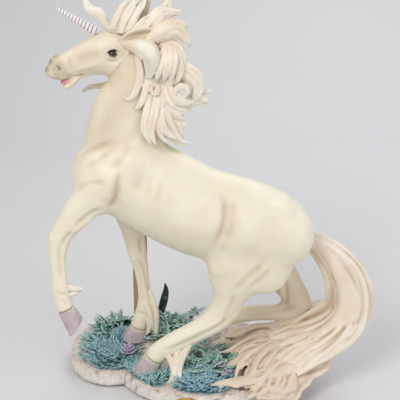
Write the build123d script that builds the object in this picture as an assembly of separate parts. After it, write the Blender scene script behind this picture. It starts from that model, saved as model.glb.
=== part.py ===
from build123d import *
import os
from math import cos, pi, radians, sin, sqrt

os.makedirs("parts", exist_ok=True)

# A unicorn figure, cast in coloured resin, that half kneels on a lobed ground casting.
# Millimetres. The unicorn faces -X, its left side faces -Y and +Z is up.
# The origin is on the underside of the felt pad, below the unicorn's middle plane.

# Ground casting and the pad under it
pad_thickness = 1.5
pad_inset = 5.0
base_length = 271.0
base_depth = 180.0
base_thickness = 16.5
base_edge_bevel = 3.0
mound_height = 9.0
mound_length = 176.0
mound_depth = 84.0
mound_shoulder = 10.0

# Trunk
barrel_height = 172.0
torso_length = 240.0
barrel_depth = 97.0
barrel_width = 94.0

# Neck and head
neck_length = 114.0
neck_depth = 90.0
neck_width = 60.0
head_length = 96.0
head_depth = 41.0
head_width = 33.0
head_drop_deg = 16.0
jaw_length = 37.0
jaw_depth = 7.5
jaw_width = 15.0
tongue_thickness = 2.4
tongue_width = 9.0
nostril_diameter = 5.0
nostril_sink = 1.6
eye_diameter = 8.4
eye_proud = 1.5
ear_length = 38.0
ear_width = 13.0
ear_thickness = 6.0
ear_hollow_depth = 3.0
horn_length = 45.0
horn_diameter = 8.2
horn_tip_diameter = 2.2
horn_turns = 6.0
horn_groove = 0.7
horn_seat = 2.5
horn_pin_diameter = 2.0
horn_pin_length = 18.0

# Legs, each measured across at its widest
thigh_depth = 84.0
thigh_width = 42.0
forearm_depth = 38.0
forearm_width = 32.0
hind_stance_width = 62.0
fore_stance_width = 50.0
foreleg_reach = 138.0
hoof_height = 15.5
raised_hoof_height = 18.0
hoof_length = 28.0
hoof_width = 23.0
feather_length = 26.0
feather_width = 10.0
feather_thickness = 6.0

# Mane
lock_width = 19.0
lock_thickness = 15.0

# Tail
tail_width = 44.0
tail_thickness = 24.0
train_width = 40.0
train_thickness = 15.0

# Support post, pins and screw
post_diameter = 16.0
post_tenon_diameter = 9.0
post_tenon_length = 8.0
neck_dowel_diameter = 10.0
neck_dowel_length = 56.0
head_dowel_diameter = 6.0
head_dowel_length = 34.0
leg_dowel_diameter = 6.0
leg_dowel_length = 34.0
tail_dowel_diameter = 5.0
tail_dowel_length = 26.0
foot_pin_diameter = 3.0
foot_pin_length = 26.0
foot_pin_sink = 8.0
screw_diameter = 4.0
screw_head_diameter = 8.0
screw_head_height = 3.0
screw_length = 32.0

# Name plate, left blank
plate_length = 30.0
plate_height = 12.0
plate_thickness = 2.0
plate_sink = 1.3
plate_turn_deg = -13.0

# Ground cover
blade_length = 17.0
blade_width = 3.4
leaf_length = 15.0
leaf_width = 12.0
leaf_thickness = 1.4
tuft_height = 3.0
cover_sink = 1.0

# How finely the grown forms are drawn: points round an oval, and steps between two stations
oval_points = 12
steps_between = 2

ground = pad_thickness + base_thickness
mound_top = ground + mound_height
barrel_middle = ground + barrel_height
aside = Vector(0, 1, 0)
up = Vector(0, 0, 1)

nodes = {}


# Shape helpers

def lerp(a, b, share):
    return a + (b - a) * share


def oval_at(place, tangent, half_depth, half_width):
    """An oval across a path: half_depth lies in the unicorn's middle plane, half_width beside it."""
    tangent = tangent.normalized()
    across = (aside - tangent * aside.dot(tangent)).normalized()
    under = tangent.cross(across)
    rim = []
    for i in range(oval_points):
        turn = 2 * pi * i / oval_points
        rim.append(place + under * half_depth * cos(turn) + across * half_width * sin(turn))
    return make_face(Spline(*rim, periodic=True))


def tangents(places):
    last = len(places) - 1
    return [places[min(i + 1, last)] - places[max(i - 1, 0)] for i in range(last + 1)]


def eased(values):
    """The values, with in-between ones on a smooth curve through them."""
    last = len(values) - 1
    smooth = []
    for i in range(last):
        before = values[max(i - 1, 0)]
        here = values[i]
        there = values[i + 1]
        after = values[min(i + 2, last)]
        for step in range(steps_between):
            t = step / steps_between
            bend = before - here * 2.5 + there * 2 - after / 2
            swing = (after - before) / 2 + (here - there) * 1.5
            smooth.append(here + (there - before) * (t / 2) + bend * t**2 + swing * t**3)
    return smooth + [values[last]]


def grown(places, half_depths, half_widths):
    """One solid that follows the places, with an oval of the given half sizes at each."""
    path = eased(places)
    rings = zip(path, tangents(path), eased(half_depths), eased(half_widths))
    return loft([oval_at(*ring) for ring in rings], ruled=True)


def between(start, end, along_share, out_share):
    """A place beside the line from start to end, in shares of that line's length in the X-Z plane."""
    run = end - start
    return Vector(
        start.X + along_share * run.X + out_share * run.Z,
        lerp(start.Y, end.Y, along_share),
        start.Z + along_share * run.Z - out_share * run.X,
    )


def limb(start, end, shares, depth, width):
    places = [between(start, end, row[0], row[1]) for row in shares]
    return grown(places, [row[2] * depth for row in shares], [row[3] * width for row in shares])


def rod(start, direction, diameter, length):
    """A round bar centred on its place, along a direction."""
    middle = Plane(origin=start, z_dir=direction)
    return middle * Cylinder(diameter / 2, length)


def near(a, b):
    """Whether two shapes' boxes meet, so that only real neighbours are fitted to each other."""
    one = a.bounding_box(optimal=False)
    other = b.bounding_box(optimal=False)
    return (
        one.min.X < other.max.X and other.min.X < one.max.X
        and one.min.Y < other.max.Y and other.min.Y < one.max.Y
        and one.min.Z < other.max.Z and other.min.Z < one.max.Z
    )


def largest(shape):
    return max(shape.solids(), key=lambda solid: solid.volume)


def fitted(shape, *carriers):
    """The shape with its seats cut where it meets the pieces that carry it."""
    for carrier in carriers:
        if near(shape, carrier):
            shape = largest(shape - carrier)
    return shape


def keep(name, shape):
    nodes[name] = shape
    return shape


# Ground casting: shares are place and half size along, then place and half size in depth
LOBE_SHARES = {
    "left": (-0.317, 0.177, 0.178, 0.367),
    "front": (0.081, 0.369, 0.000, 0.456),
    "back": (0.037, 0.351, 0.278, 0.256),
    "right": (0.314, 0.192, 0.083, 0.306),
}


def lobes(inset):
    """The outline of the ground casting, drawn in by an inset."""
    outline = None
    for x_share, half_x_share, y_share, half_y_share in LOBE_SHARES.values():
        oval = Pos(x_share * base_length, y_share * base_depth) * Ellipse(
            half_x_share * base_length - inset, half_y_share * base_depth - inset
        )
        outline = oval if outline is None else outline + oval
    return outline


def on_base(x_share, y_share, height):
    return Vector(x_share * base_length, y_share * base_depth, height)


mound_middle = on_base(0.0, 0.25, ground)


def ground_casting():
    slab = Pos(0, 0, pad_thickness) * extrude(lobes(0), base_thickness)
    slab = chamfer(slab.edges().group_by(Axis.Z)[-1], base_edge_bevel)
    foot = Plane(mound_middle) * Ellipse(mound_length / 2, mound_depth / 2)
    crown = Plane(mound_middle + up * mound_height) * Ellipse(
        mound_length / 2 - mound_shoulder, mound_depth / 2 - mound_shoulder
    )
    return slab + loft([foot, crown], ruled=True)


base = ground_casting()
pad = extrude(lobes(pad_inset), pad_thickness)


def name_plate():
    """A blank oval plate let into the front rim, square to the front lobe's outline."""
    x_share, half_x_share, y_share, half_y_share = LOBE_SHARES["front"]
    half_x = half_x_share * base_length
    half_y = half_y_share * base_depth
    turn = radians(plate_turn_deg)
    seat = Vector(
        x_share * base_length + half_x * sin(turn),
        y_share * base_depth - half_y * cos(turn),
        pad_thickness + (base_thickness - base_edge_bevel) / 2,
    )
    outward = Vector(sin(turn) / half_x, -cos(turn) / half_y, 0).normalized()
    face = Plane(origin=seat - outward * plate_sink, x_dir=up, z_dir=outward)
    return extrude(face * Ellipse(plate_height / 2, plate_length / 2), plate_thickness)


plate = name_plate()
base = base - plate


# Trunk: along, rise, half depth and half width, in shares of the trunk's own sizes
TORSO_SHARES = [
    (-0.485, 0.340, 0.150, 0.17),
    (-0.450, 0.365, 0.260, 0.29),
    (-0.392, 0.385, 0.380, 0.38),
    (-0.290, 0.370, 0.450, 0.44),
    (-0.187, 0.270, 0.475, 0.47),
    (-0.084, 0.125, 0.485, 0.49),
    (0.025, -0.020, 0.480, 0.50),
    (0.140, -0.100, 0.475, 0.48),
    (0.250, -0.152, 0.445, 0.49),
    (0.370, -0.225, 0.385, 0.46),
    (0.464, -0.330, 0.280, 0.34),
    (0.517, -0.380, 0.130, 0.15),
]


def in_torso(along_share, rise_share, aside_distance=0.0):
    return Vector(
        along_share * torso_length, aside_distance, barrel_middle + rise_share * barrel_depth
    )


torso = grown(
    [in_torso(row[0], row[1]) for row in TORSO_SHARES],
    [row[2] * barrel_depth for row in TORSO_SHARES],
    [row[3] * barrel_width for row in TORSO_SHARES],
)

# Neck: along, out towards the crest, half depth, half width
NECK_SHARES = [
    (0.00, 0.000, 0.500, 0.50),
    (0.21, -0.014, 0.450, 0.45),
    (0.36, -0.003, 0.405, 0.42),
    (0.54, 0.026, 0.360, 0.37),
    (0.71, 0.058, 0.285, 0.33),
    (0.85, 0.075, 0.235, 0.29),
    (1.00, 0.040, 0.170, 0.23),
]
HEAD_SHARES = [
    (0.000, 0.000, 0.34, 0.32),
    (0.130, 0.008, 0.43, 0.43),
    (0.300, 0.022, 0.51, 0.50),
    (0.435, 0.022, 0.48, 0.47),
    (0.574, 0.024, 0.40, 0.38),
    (0.713, 0.018, 0.33, 0.31),
    (0.826, 0.016, 0.31, 0.31),
    (0.904, 0.012, 0.28, 0.28),
    (0.970, -0.008, 0.20, 0.20),
    (1.000, -0.022, 0.09, 0.09),
]

neck_root = in_torso(-0.267, 0.50)
poll = neck_root + Vector(-0.018, 0, 1) * neck_length
nape = poll + Vector(0.18, 0, 0.055) * head_length
muzzle = nape + Vector(-cos(radians(head_drop_deg)), 0, -sin(radians(head_drop_deg))) * head_length


def by_head(along_share, out_share, side_share=0.0):
    """A place in the head: out is towards the forehead, side is in shares of the head's width."""
    place = between(nape, muzzle, along_share, out_share)
    return place + aside * side_share * head_width


neck = fitted(limb(neck_root, poll, NECK_SHARES, neck_depth, neck_width), torso)
head_form = limb(nape, muzzle, HEAD_SHARES, head_depth, head_width)

# Mouth: the lower jaw hangs a little open below the muzzle, with the tongue between
JAW_SHARES = [
    (0.0, 0.0, 0.30, 0.38),
    (0.45, 0.05, 0.36, 0.44),
    (0.85, 0.04, 0.42, 0.50),
    (1.0, 0.0, 0.20, 0.30),
]
jaw_root_shares = (0.50, -0.125)
jaw_root = by_head(*jaw_root_shares)
jaw_tip = jaw_root + (by_head(1, 0) - by_head(0, 0.20)).normalized() * jaw_length
lower_jaw = limb(jaw_root, jaw_tip, JAW_SHARES, jaw_depth, jaw_width)
TONGUE_SHARES = [(0.0, 0.0, 0.5, 0.40), (0.5, 0.0, 0.5, 0.50), (1.0, 0.0, 0.4, 0.34)]
jaw_bed_share = 0.42
tongue_rise = up * (tongue_thickness / 2 + jaw_depth * jaw_bed_share)
tongue = limb(
    lerp(jaw_root, jaw_tip, 0.42) + tongue_rise,
    lerp(jaw_root, jaw_tip, 0.95) + tongue_rise,
    TONGUE_SHARES,
    tongue_thickness,
    tongue_width,
)

# Eyes, set into sockets on both sides
eye_place_shares = (0.27, 0.035)
eye_side_share = 0.475
eyes = []
for side in (-1, 1):
    eye_socket = by_head(*eye_place_shares, side * eye_side_share)
    eye_middle = eye_socket - aside * side * (eye_diameter / 2 - eye_proud)
    eyes.append(Pos(eye_middle) * Sphere(eye_diameter / 2))

# Nostrils, dimples in both sides of the muzzle
nostril_place_shares = (0.90, 0.02)
nostril_side_share = 0.27
nostrils = []
for side in (-1, 1):
    nostril_skin = by_head(*nostril_place_shares, side * nostril_side_share)
    nostril_middle = nostril_skin + aside * side * (nostril_diameter / 2 - nostril_sink)
    nostrils.append(Pos(nostril_middle) * Sphere(nostril_diameter / 2))


# Ears: along, half thickness and half width of the blade, then of the hollow in its front
EAR_BLADE_SHARES = [(0.0, 0.42, 0.34), (0.35, 0.50, 0.50), (0.7, 0.36, 0.36), (1.0, 0.10, 0.08)]
EAR_HOLLOW_SHARES = [(0.25, 0.5, 0.10), (0.5, 1.0, 0.30), (0.8, 0.4, 0.10)]
ear_place_shares = (0.03, 0.11)
ear_side_share = 0.24


def ear(side):
    """A leaf-shaped ear, hollow towards the front."""
    root = by_head(*ear_place_shares, side * ear_side_share)
    tip = root + Vector(0.27, side * 0.16, 0.95) * ear_length
    blade = grown(
        [lerp(root, tip, row[0]) for row in EAR_BLADE_SHARES],
        [row[1] * ear_thickness for row in EAR_BLADE_SHARES],
        [row[2] * ear_width for row in EAR_BLADE_SHARES],
    )
    front_share = 0.62
    front = Vector(-1, 0, 0.25) * ear_thickness * front_share
    hollow = grown(
        [lerp(root, tip, row[0]) + front for row in EAR_HOLLOW_SHARES],
        [row[1] * ear_hollow_depth for row in EAR_HOLLOW_SHARES],
        [row[2] * ear_width for row in EAR_HOLLOW_SHARES],
    )
    return largest(blade - hollow)


# Horn: a tapered cone with a groove that winds round it
horn_root = by_head(0.375, 0.235)
horn_way = Vector(-0.862, 0, 0.507)
rings_per_turn = 8
lobes_per_ring = 12


def spiral_horn():
    count = int(horn_turns * rings_per_turn)
    seat = horn_root - horn_way * horn_seat
    rings = []
    for i in range(count + 1):
        share = i / count
        radius = lerp(horn_diameter, horn_tip_diameter, share) / 2
        level = Plane(origin=seat + horn_way * (horn_length + horn_seat) * share, x_dir=aside, z_dir=horn_way)
        points = []
        for k in range(lobes_per_ring):
            turn = 2 * pi * k / lobes_per_ring
            wave = cos(turn - 2 * pi * i / rings_per_turn)
            depth = horn_groove * lerp(1, horn_tip_diameter / horn_diameter, share)
            reach = radius - depth / 2 + depth / 2 * wave
            points.append((reach * cos(turn), reach * sin(turn)))
        rings.append(level * Polygon(*points, align=None))
    return loft(rings, ruled=True)


horn_form = spiral_horn()
horn_pin = rod(horn_root, horn_way, horn_pin_diameter, horn_pin_length)

# Legs: along, out, half depth, half width, in shares of each leg's own sizes
NEAR_HIND_SHARES = [
    (0.00, 0.000, 0.440, 0.43),
    (0.13, -0.045, 0.490, 0.49),
    (0.26, -0.065, 0.530, 0.50),
    (0.36, -0.067, 0.405, 0.44),
    (0.44, -0.095, 0.245, 0.33),
    (0.50, -0.120, 0.185, 0.27),
    (0.58, -0.135, 0.18, 0.25),
    (0.69, -0.108, 0.15, 0.22),
    (0.79, -0.063, 0.14, 0.20),
    (0.89, -0.022, 0.14, 0.20),
    (0.96, -0.001, 0.13, 0.21),
    (1.00, 0.000, 0.12, 0.23),
]
FAR_HIND_SHARES = [
    (0.00, 0.000, 0.34, 0.43),
    (0.17, -0.055, 0.31, 0.43),
    (0.30, -0.230, 0.26, 0.36),
    (0.43, -0.445, 0.18, 0.26),
    (0.55, -0.598, 0.15, 0.22),
    (0.64, -0.550, 0.13, 0.21),
    (0.72, -0.360, 0.11, 0.19),
    (0.82, -0.175, 0.11, 0.19),
    (0.91, -0.060, 0.11, 0.20),
    (1.00, 0.000, 0.12, 0.23),
]
FAR_FORE_SHARES = [
    (0.00, 0.000, 0.45, 0.41),
    (0.22, -0.035, 0.34, 0.34),
    (0.34, -0.044, 0.29, 0.28),
    (0.45, -0.053, 0.26, 0.27),
    (0.54, -0.064, 0.21, 0.22),
    (0.68, -0.070, 0.19, 0.20),
    (0.77, -0.070, 0.21, 0.23),
    (0.85, -0.059, 0.24, 0.25),
    (0.93, -0.029, 0.24, 0.27),
    (1.00, 0.000, 0.26, 0.30),
]
NEAR_FORE_SHARES = [
    (0.00, 0.000, 0.55, 0.44),
    (0.07, 0.059, 0.50, 0.44),
    (0.15, 0.108, 0.45, 0.41),
    (0.26, 0.148, 0.42, 0.38),
    (0.36, 0.180, 0.36, 0.33),
    (0.45, 0.210, 0.32, 0.30),
    (0.54, 0.210, 0.29, 0.28),
    (0.64, 0.183, 0.24, 0.22),
    (0.76, 0.137, 0.21, 0.21),
    (0.86, 0.090, 0.25, 0.25),
    (0.94, 0.052, 0.23, 0.24),
    (1.00, 0.000, 0.24, 0.28),
]

left_hind = -hind_stance_width / 2
right_hind = hind_stance_width / 2
left_fore = -fore_stance_width / 2
right_fore = fore_stance_width / 2
# Each hoof's place on the ground casting, in shares of the casting's length
near_hind_foot_share = -0.146
far_hind_foot_share = 0.096
far_fore_foot_share = -0.2125


def coronet(foot_share, side, floor):
    """The top of a planted hoof."""
    return Vector(foot_share * base_length, side, floor + hoof_height)


hip_inset_share = 0.6
shoulder_inset_share = 0.8
raised_leg_way = Vector(-0.34, -0.10, -0.94)
near_hind_hip = in_torso(0.333, -0.05, left_hind * hip_inset_share)
far_hind_hip = in_torso(0.313, -0.26, right_hind * hip_inset_share)
far_fore_shoulder = in_torso(-0.292, 0.05, right_fore * shoulder_inset_share)
near_fore_shoulder = in_torso(-0.333, 0.35, left_fore)
near_hind_coronet = coronet(near_hind_foot_share, left_hind, ground)
far_hind_coronet = coronet(far_hind_foot_share, right_hind, mound_top)
far_fore_coronet = coronet(far_fore_foot_share, right_fore, mound_top)
near_fore_coronet = near_fore_shoulder + raised_leg_way * foreleg_reach

# What each leg is drawn from: its ends, its table and its two widest sizes
near_hind_plan = (near_hind_hip, near_hind_coronet, NEAR_HIND_SHARES, thigh_depth, thigh_width)
far_hind_plan = (far_hind_hip, far_hind_coronet, FAR_HIND_SHARES, thigh_depth, thigh_width)
far_fore_plan = (far_fore_shoulder, far_fore_coronet, FAR_FORE_SHARES, forearm_depth, forearm_width)
near_fore_plan = (near_fore_shoulder, near_fore_coronet, NEAR_FORE_SHARES, forearm_depth, forearm_width)
near_hind_form = limb(*near_hind_plan)
far_hind_form = limb(*far_hind_plan)
far_fore_form = limb(*far_fore_plan)
near_fore_form = limb(*near_fore_plan)


def leg_end(start, end, shares, depth, width):
    """The oval that a leg ends in, where its hoof begins."""
    path = eased([between(start, end, row[0], row[1]) for row in shares])
    return oval_at(path[-1], path[-1] - path[-2], shares[-1][2] * depth, shares[-1][3] * width)


def planted_hoof(plan, floor, toe_share):
    """A hoof from the leg's end down to a flat sole."""
    foot = plan[1]
    sole_middle = Vector(foot.X - toe_share * hoof_length, foot.Y, floor)
    sole = Plane(origin=sole_middle, x_dir=aside, z_dir=-up) * Ellipse(hoof_width / 2, hoof_length / 2)
    return loft([leg_end(*plan), sole], ruled=True)


near_hind_hoof = planted_hoof(near_hind_plan, ground, 0.32)
far_hind_hoof = planted_hoof(far_hind_plan, mound_top, 0.32)
far_fore_hoof = planted_hoof(far_fore_plan, mound_top, 0.16)
raised_sole_shares = Vector(0.52, 0, -1.15)
raised_sole_way = Vector(0.80, 0, -0.60)
raised_sole_middle = near_fore_coronet + raised_sole_shares * raised_hoof_height
raised_sole_half_share = 0.42
raised_sole = Plane(origin=raised_sole_middle, x_dir=aside, z_dir=raised_sole_way) * Ellipse(
    hoof_width / 2, hoof_length * raised_sole_half_share
)
near_fore_hoof = loft([leg_end(*near_fore_plan), raised_sole], ruled=True)


# Feathers: tufts of hair behind each fetlock, in shares of the leg's line
def feather(start, end, shares, carriers):
    return fitted(limb(start, end, shares, feather_width, feather_thickness), *carriers)


FEATHER_SHARES = [
    (0.0, 0.0, 0.55, 0.8),
    (0.35, 0.06, 0.42, 0.7),
    (0.7, 0.03, 0.32, 0.55),
    (1.0, -0.05, 0.12, 0.2),
]
LONG_FEATHER_SHARES = [
    (0.0, 0.0, 0.50, 0.70),
    (0.3, -0.10, 0.42, 0.70),
    (0.6, -0.14, 0.40, 0.75),
    (0.85, -0.08, 0.45, 0.9),
    (1.0, 0.0, 0.52, 1.1),
]
near_fore_fetlock = between(near_fore_shoulder, near_fore_coronet, 0.87, 0.05)
far_fore_fetlock = between(far_fore_shoulder, far_fore_coronet, 0.84, -0.06)
near_hind_fetlock = between(near_hind_hip, near_hind_coronet, 0.90, -0.02)
near_fore_feather_ends = [
    near_fore_fetlock,
    near_fore_fetlock + Vector(1.0, 0, -0.02) * feather_length,
]
far_fore_feather_ends = [
    far_fore_fetlock + Vector(0.2, 0, 0) * feather_length,
    far_fore_fetlock + Vector(0.55, 0, -1.15) * feather_length,
]
foot_spread_share = 1.35
near_hind_feather_ends = [
    near_hind_fetlock + Vector(0.1, 0, -0.05) * feather_length,
    Vector(near_hind_fetlock.X + 0.34 * feather_length, left_hind * foot_spread_share, ground),
]


# Support post: stands in a socket in the mound and reaches the belly behind the right foreleg
post_foot = on_base(-0.2065, 0.25, mound_top)
POST_SHARES = [(0.0, 0.0), (0.35, 0.0), (0.62, 0.0), (0.82, -0.05), (1.0, -0.16)]
post_height = in_torso(0, 0.26).Z - mound_top
post_places = []
for rise_share, lean_share in POST_SHARES:
    post_places.append(post_foot + up * post_height * rise_share + aside * barrel_width * lean_share)
post_half_sizes = [post_diameter / 2] * len(post_places)
post_form = grown(post_places, post_half_sizes, post_half_sizes)
post_tenon = rod(post_foot - up * post_tenon_length / 2, up, post_tenon_diameter, post_tenon_length)
screw_seat = Vector(post_foot.X, post_foot.Y, pad_thickness)


def wood_screw(growth):
    head = Pos(screw_seat + up * screw_head_height / 2) * Cone(
        screw_head_diameter / 2 + growth, screw_diameter / 2 + growth, screw_head_height
    )
    shank = Pos(screw_seat + up * screw_length / 2) * Cylinder(screw_diameter / 2 + growth, screw_length)
    return head + shank


screw = wood_screw(0)

# Pins between the castings
def leg_dowel(start, end, along_share, out_share, way):
    return rod(between(start, end, along_share, out_share), way, leg_dowel_diameter, leg_dowel_length)


near_hind_leg_way = near_hind_coronet - near_hind_hip
far_hind_leg_way = Vector(0.2, 0.15, -1)
far_fore_leg_way = far_fore_coronet - far_fore_shoulder
near_fore_leg_way = Vector(-0.7, -0.1, -0.7)
neck_dowel = rod(in_torso(-0.275, 0.63), up, neck_dowel_diameter, neck_dowel_length)
head_dowel_middle = poll + Vector(-0.03, 0, 0) * head_length + Vector(0, 0, -0.15) * head_depth
head_dowel = rod(head_dowel_middle, Vector(-0.75, 0, 0.45), head_dowel_diameter, head_dowel_length)
near_hind_dowel = leg_dowel(near_hind_hip, near_hind_coronet, 0.20, -0.055, near_hind_leg_way)
far_hind_dowel = leg_dowel(far_hind_hip, far_hind_coronet, 0.10, -0.07, far_hind_leg_way)
far_fore_dowel = leg_dowel(far_fore_shoulder, far_fore_coronet, 0.14, -0.01, far_fore_leg_way)
near_fore_dowel = leg_dowel(near_fore_shoulder, near_fore_coronet, 0.06, 0.04, near_fore_leg_way)
tail_root = in_torso(0.480, -0.30)
tail_dowel = rod(in_torso(0.517, -0.40), Vector(0.92, 0, -0.38), tail_dowel_diameter, tail_dowel_length)
dowels = {
    "neck_dowel": neck_dowel,
    "head_dowel": head_dowel,
    "near_hind_dowel": near_hind_dowel,
    "far_hind_dowel": far_hind_dowel,
    "far_fore_dowel": far_fore_dowel,
    "near_fore_dowel": near_fore_dowel,
    "tail_dowel": tail_dowel,
}
foot_pins = []
pin_toe_share = 0.12
planted = [(near_hind_coronet, ground), (far_hind_coronet, mound_top), (far_fore_coronet, mound_top)]
for foot, floor in planted:
    pin_height = floor - foot_pin_sink + foot_pin_length / 2
    pin_middle = Vector(foot.X - pin_toe_share * hoof_length, foot.Y, pin_height)
    foot_pins.append(rod(pin_middle, up, foot_pin_diameter, foot_pin_length))


# Tail: the fall leaves the dock, swings out and comes down to the ground casting
FALL_SHARES = [
    (0.000, 0.000, 0.17, 0.26),
    (0.113, -0.132, 0.19, 0.29),
    (0.238, -0.237, 0.24, 0.34),
    (0.420, -0.334, 0.33, 0.39),
    (0.576, -0.375, 0.42, 0.43),
    (0.732, -0.359, 0.48, 0.50),
    (0.887, -0.235, 0.48, 0.58),
    (1.000, 0.000, 0.40, 0.60),
]
fall_end = on_base(0.48, -0.10, ground + train_thickness * 1.35)
fall_form = limb(tail_root, fall_end, FALL_SHARES, tail_width, tail_thickness)

# Train: tresses that run over the ground casting from the end of the fall.
# Shares of the casting's length and depth, then rise, half depth and half width.
TRAIN_SHARES = {
    "train_far": [
        (0.50, 0.05, 2.2, 0.55, 0.30), (0.42, 0.11, 1.7, 0.62, 0.34), (0.32, 0.14, 1.2, 0.72, 0.38),
        (0.23, 0.11, 0.8, 0.68, 0.38), (0.15, 0.07, 0.5, 0.45, 0.28), (0.10, 0.05, 0.3, 0.25, 0.10),
    ],
    "train_middle": [
        (0.50, -0.06, 1.7, 0.60, 0.34), (0.42, -0.05, 1.3, 0.68, 0.40), (0.33, -0.06, 1.0, 0.72, 0.42),
        (0.25, -0.09, 0.7, 0.66, 0.40), (0.18, -0.13, 0.45, 0.5, 0.30), (0.12, -0.17, 0.3, 0.25, 0.12),
    ],
    "train_near": [
        (0.50, -0.14, 1.5, 0.50, 0.30), (0.43, -0.21, 1.0, 0.60, 0.32), (0.35, -0.28, 0.7, 0.62, 0.34),
        (0.27, -0.335, 0.5, 0.60, 0.32), (0.18, -0.36, 0.45, 0.52, 0.28), (0.11, -0.37, 0.40, 0.40, 0.20),
        (0.07, -0.385, 0.3, 0.25, 0.10),
    ],
}


def tress(shares):
    places = [on_base(row[0], row[1], ground + row[2] * train_thickness) for row in shares]
    return grown(
        places, [row[3] * train_thickness for row in shares], [row[4] * train_width for row in shares]
    )


# Mane: each clump is one or two locks. First their place beside the neck, in shares of its
# width, then along, out towards the crest and half width of a lock, along the neck's line.
MANE_SHARES = {
    "poll_tuft": [
        (-0.10, [(1.08, -0.02, 0.60), (1.19, -0.02, 0.78), (1.27, -0.02, 0.85), (1.37, 0.04, 0.80),
                 (1.44, 0.10, 0.60), (1.51, 0.16, 0.17)]),
    ],
    "crown_lock": [
        (0.10, [(1.02, 0.18, 0.70), (1.17, 0.25, 0.85), (1.27, 0.28, 0.85), (1.36, 0.34, 0.72),
                 (1.41, 0.40, 0.50), (1.50, 0.42, 0.14)]),
        (-0.04, [(1.28, 0.27, 0.40), (1.32, 0.36, 0.50), (1.33, 0.46, 0.44), (1.34, 0.52, 0.17)]),
    ],
    "nape_lock": [
        (-0.20, [(0.98, 0.18, 0.60), (1.12, 0.26, 0.80), (1.21, 0.36, 0.83), (1.24, 0.45, 0.70),
                 (1.23, 0.52, 0.45), (1.18, 0.58, 0.14)]),
        (-0.07, [(1.16, 0.35, 0.50), (1.15, 0.45, 0.60), (1.12, 0.52, 0.46), (1.05, 0.59, 0.17)]),
    ],
    "crest_curl_high": [
        (-0.20, [(0.94, 0.22, 0.55), (1.06, 0.33, 0.72), (1.09, 0.42, 0.80), (1.05, 0.49, 0.75),
                 (0.98, 0.52, 0.60), (0.91, 0.51, 0.42), (0.85, 0.47, 0.20)]),
    ],
    "crest_fall": [
        (-0.40, [(1.02, 0.26, 0.40), (1.06, 0.34, 0.56), (0.98, 0.38, 0.72), (0.87, 0.35, 0.60),
                 (0.78, 0.29, 0.17)]),
    ],
    "side_sweep": [
        (-0.32, [(1.14, 0.03, 0.40), (1.14, 0.14, 0.66), (1.09, 0.24, 0.78), (0.99, 0.30, 0.70),
                 (0.83, 0.27, 0.20)]),
    ],
    "crest_curl_mid": [
        (0.08, [(0.80, 0.24, 0.60), (0.85, 0.38, 0.80), (0.87, 0.51, 0.86), (0.82, 0.61, 0.80),
                 (0.74, 0.67, 0.62), (0.67, 0.70, 0.36), (0.65, 0.76, 0.14)]),
        (-0.10, [(0.83, 0.40, 0.50), (0.79, 0.50, 0.62), (0.71, 0.56, 0.50), (0.62, 0.53, 0.20)]),
    ],
    "crest_curl_low": [
        (-0.18, [(0.76, 0.24, 0.60), (0.69, 0.35, 0.80), (0.59, 0.44, 0.88), (0.55, 0.55, 0.76),
                 (0.57, 0.65, 0.55), (0.56, 0.71, 0.36), (0.51, 0.75, 0.14)]),
        (-0.04, [(0.62, 0.36, 0.45), (0.55, 0.44, 0.55), (0.52, 0.52, 0.40), (0.49, 0.58, 0.14)]),
    ],
    "wither_lock_upper": [
        (0.12, [(0.62, 0.18, 0.70), (0.54, 0.28, 0.85), (0.49, 0.37, 0.80), (0.43, 0.46, 0.62),
                (0.38, 0.54, 0.17)]),
        (-0.02, [(0.50, 0.26, 0.50), (0.44, 0.35, 0.66), (0.36, 0.44, 0.55), (0.30, 0.54, 0.17)]),
    ],
    "wither_lock_lower": [
        (-0.20, [(0.50, 0.18, 0.60), (0.40, 0.26, 0.78), (0.31, 0.33, 0.72), (0.25, 0.41, 0.52),
                 (0.24, 0.51, 0.17)]),
        (-0.05, [(0.36, 0.24, 0.50), (0.28, 0.31, 0.62), (0.21, 0.38, 0.66), (0.17, 0.46, 0.52),
                 (0.18, 0.56, 0.17)]),
    ],
    "shoulder_lock": [
        (-0.42, [(0.66, 0.24, 0.50), (0.58, 0.25, 0.68), (0.47, 0.23, 0.60), (0.36, 0.19, 0.46),
                 (0.25, 0.22, 0.14)]),
    ],
    "neck_lock": [
        (-0.40, [(0.86, 0.32, 0.50), (0.80, 0.28, 0.72), (0.72, 0.21, 0.70), (0.65, 0.12, 0.50),
                 (0.63, 0.03, 0.15)]),
    ],
    "cheek_lock": [
        (-0.42, [(0.74, 0.37, 0.45), (0.68, 0.33, 0.62), (0.59, 0.28, 0.62), (0.50, 0.24, 0.42),
                 (0.43, 0.20, 0.15)]),
    ],
    "throat_lock": [
        (0.34, [(0.64, 0.00, 0.36), (0.66, -0.12, 0.38), (0.66, -0.24, 0.36), (0.65, -0.32, 0.28),
                (0.61, -0.39, 0.14)]),
    ],
    "forelock": [
        (-0.02, [(1.12, 0.03, 0.45), (1.19, -0.04, 0.50), (1.23, -0.12, 0.50), (1.29, -0.165, 0.44),
                 (1.345, -0.20, 0.40), (1.355, -0.25, 0.36), (1.40, -0.285, 0.30), (1.47, -0.30, 0.14)]),
    ],
}


def lock(side_share, shares):
    start = neck_root + aside * side_share * neck_width
    end = poll + aside * side_share * neck_width
    places = [between(start, end, row[0], row[1]) for row in shares]
    half_widths = [row[2] * lock_width / 2 for row in shares]
    return grown(places, half_widths, [half * lock_thickness / lock_width for half in half_widths])


def clump(locks):
    form = lock(*locks[0])
    for other in locks[1:]:
        form = form + lock(*other)
    return form


# Ground cover: beds of blades and leaves. Shares of the casting: place and half size.
golden_turn_deg = 137.5


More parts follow.
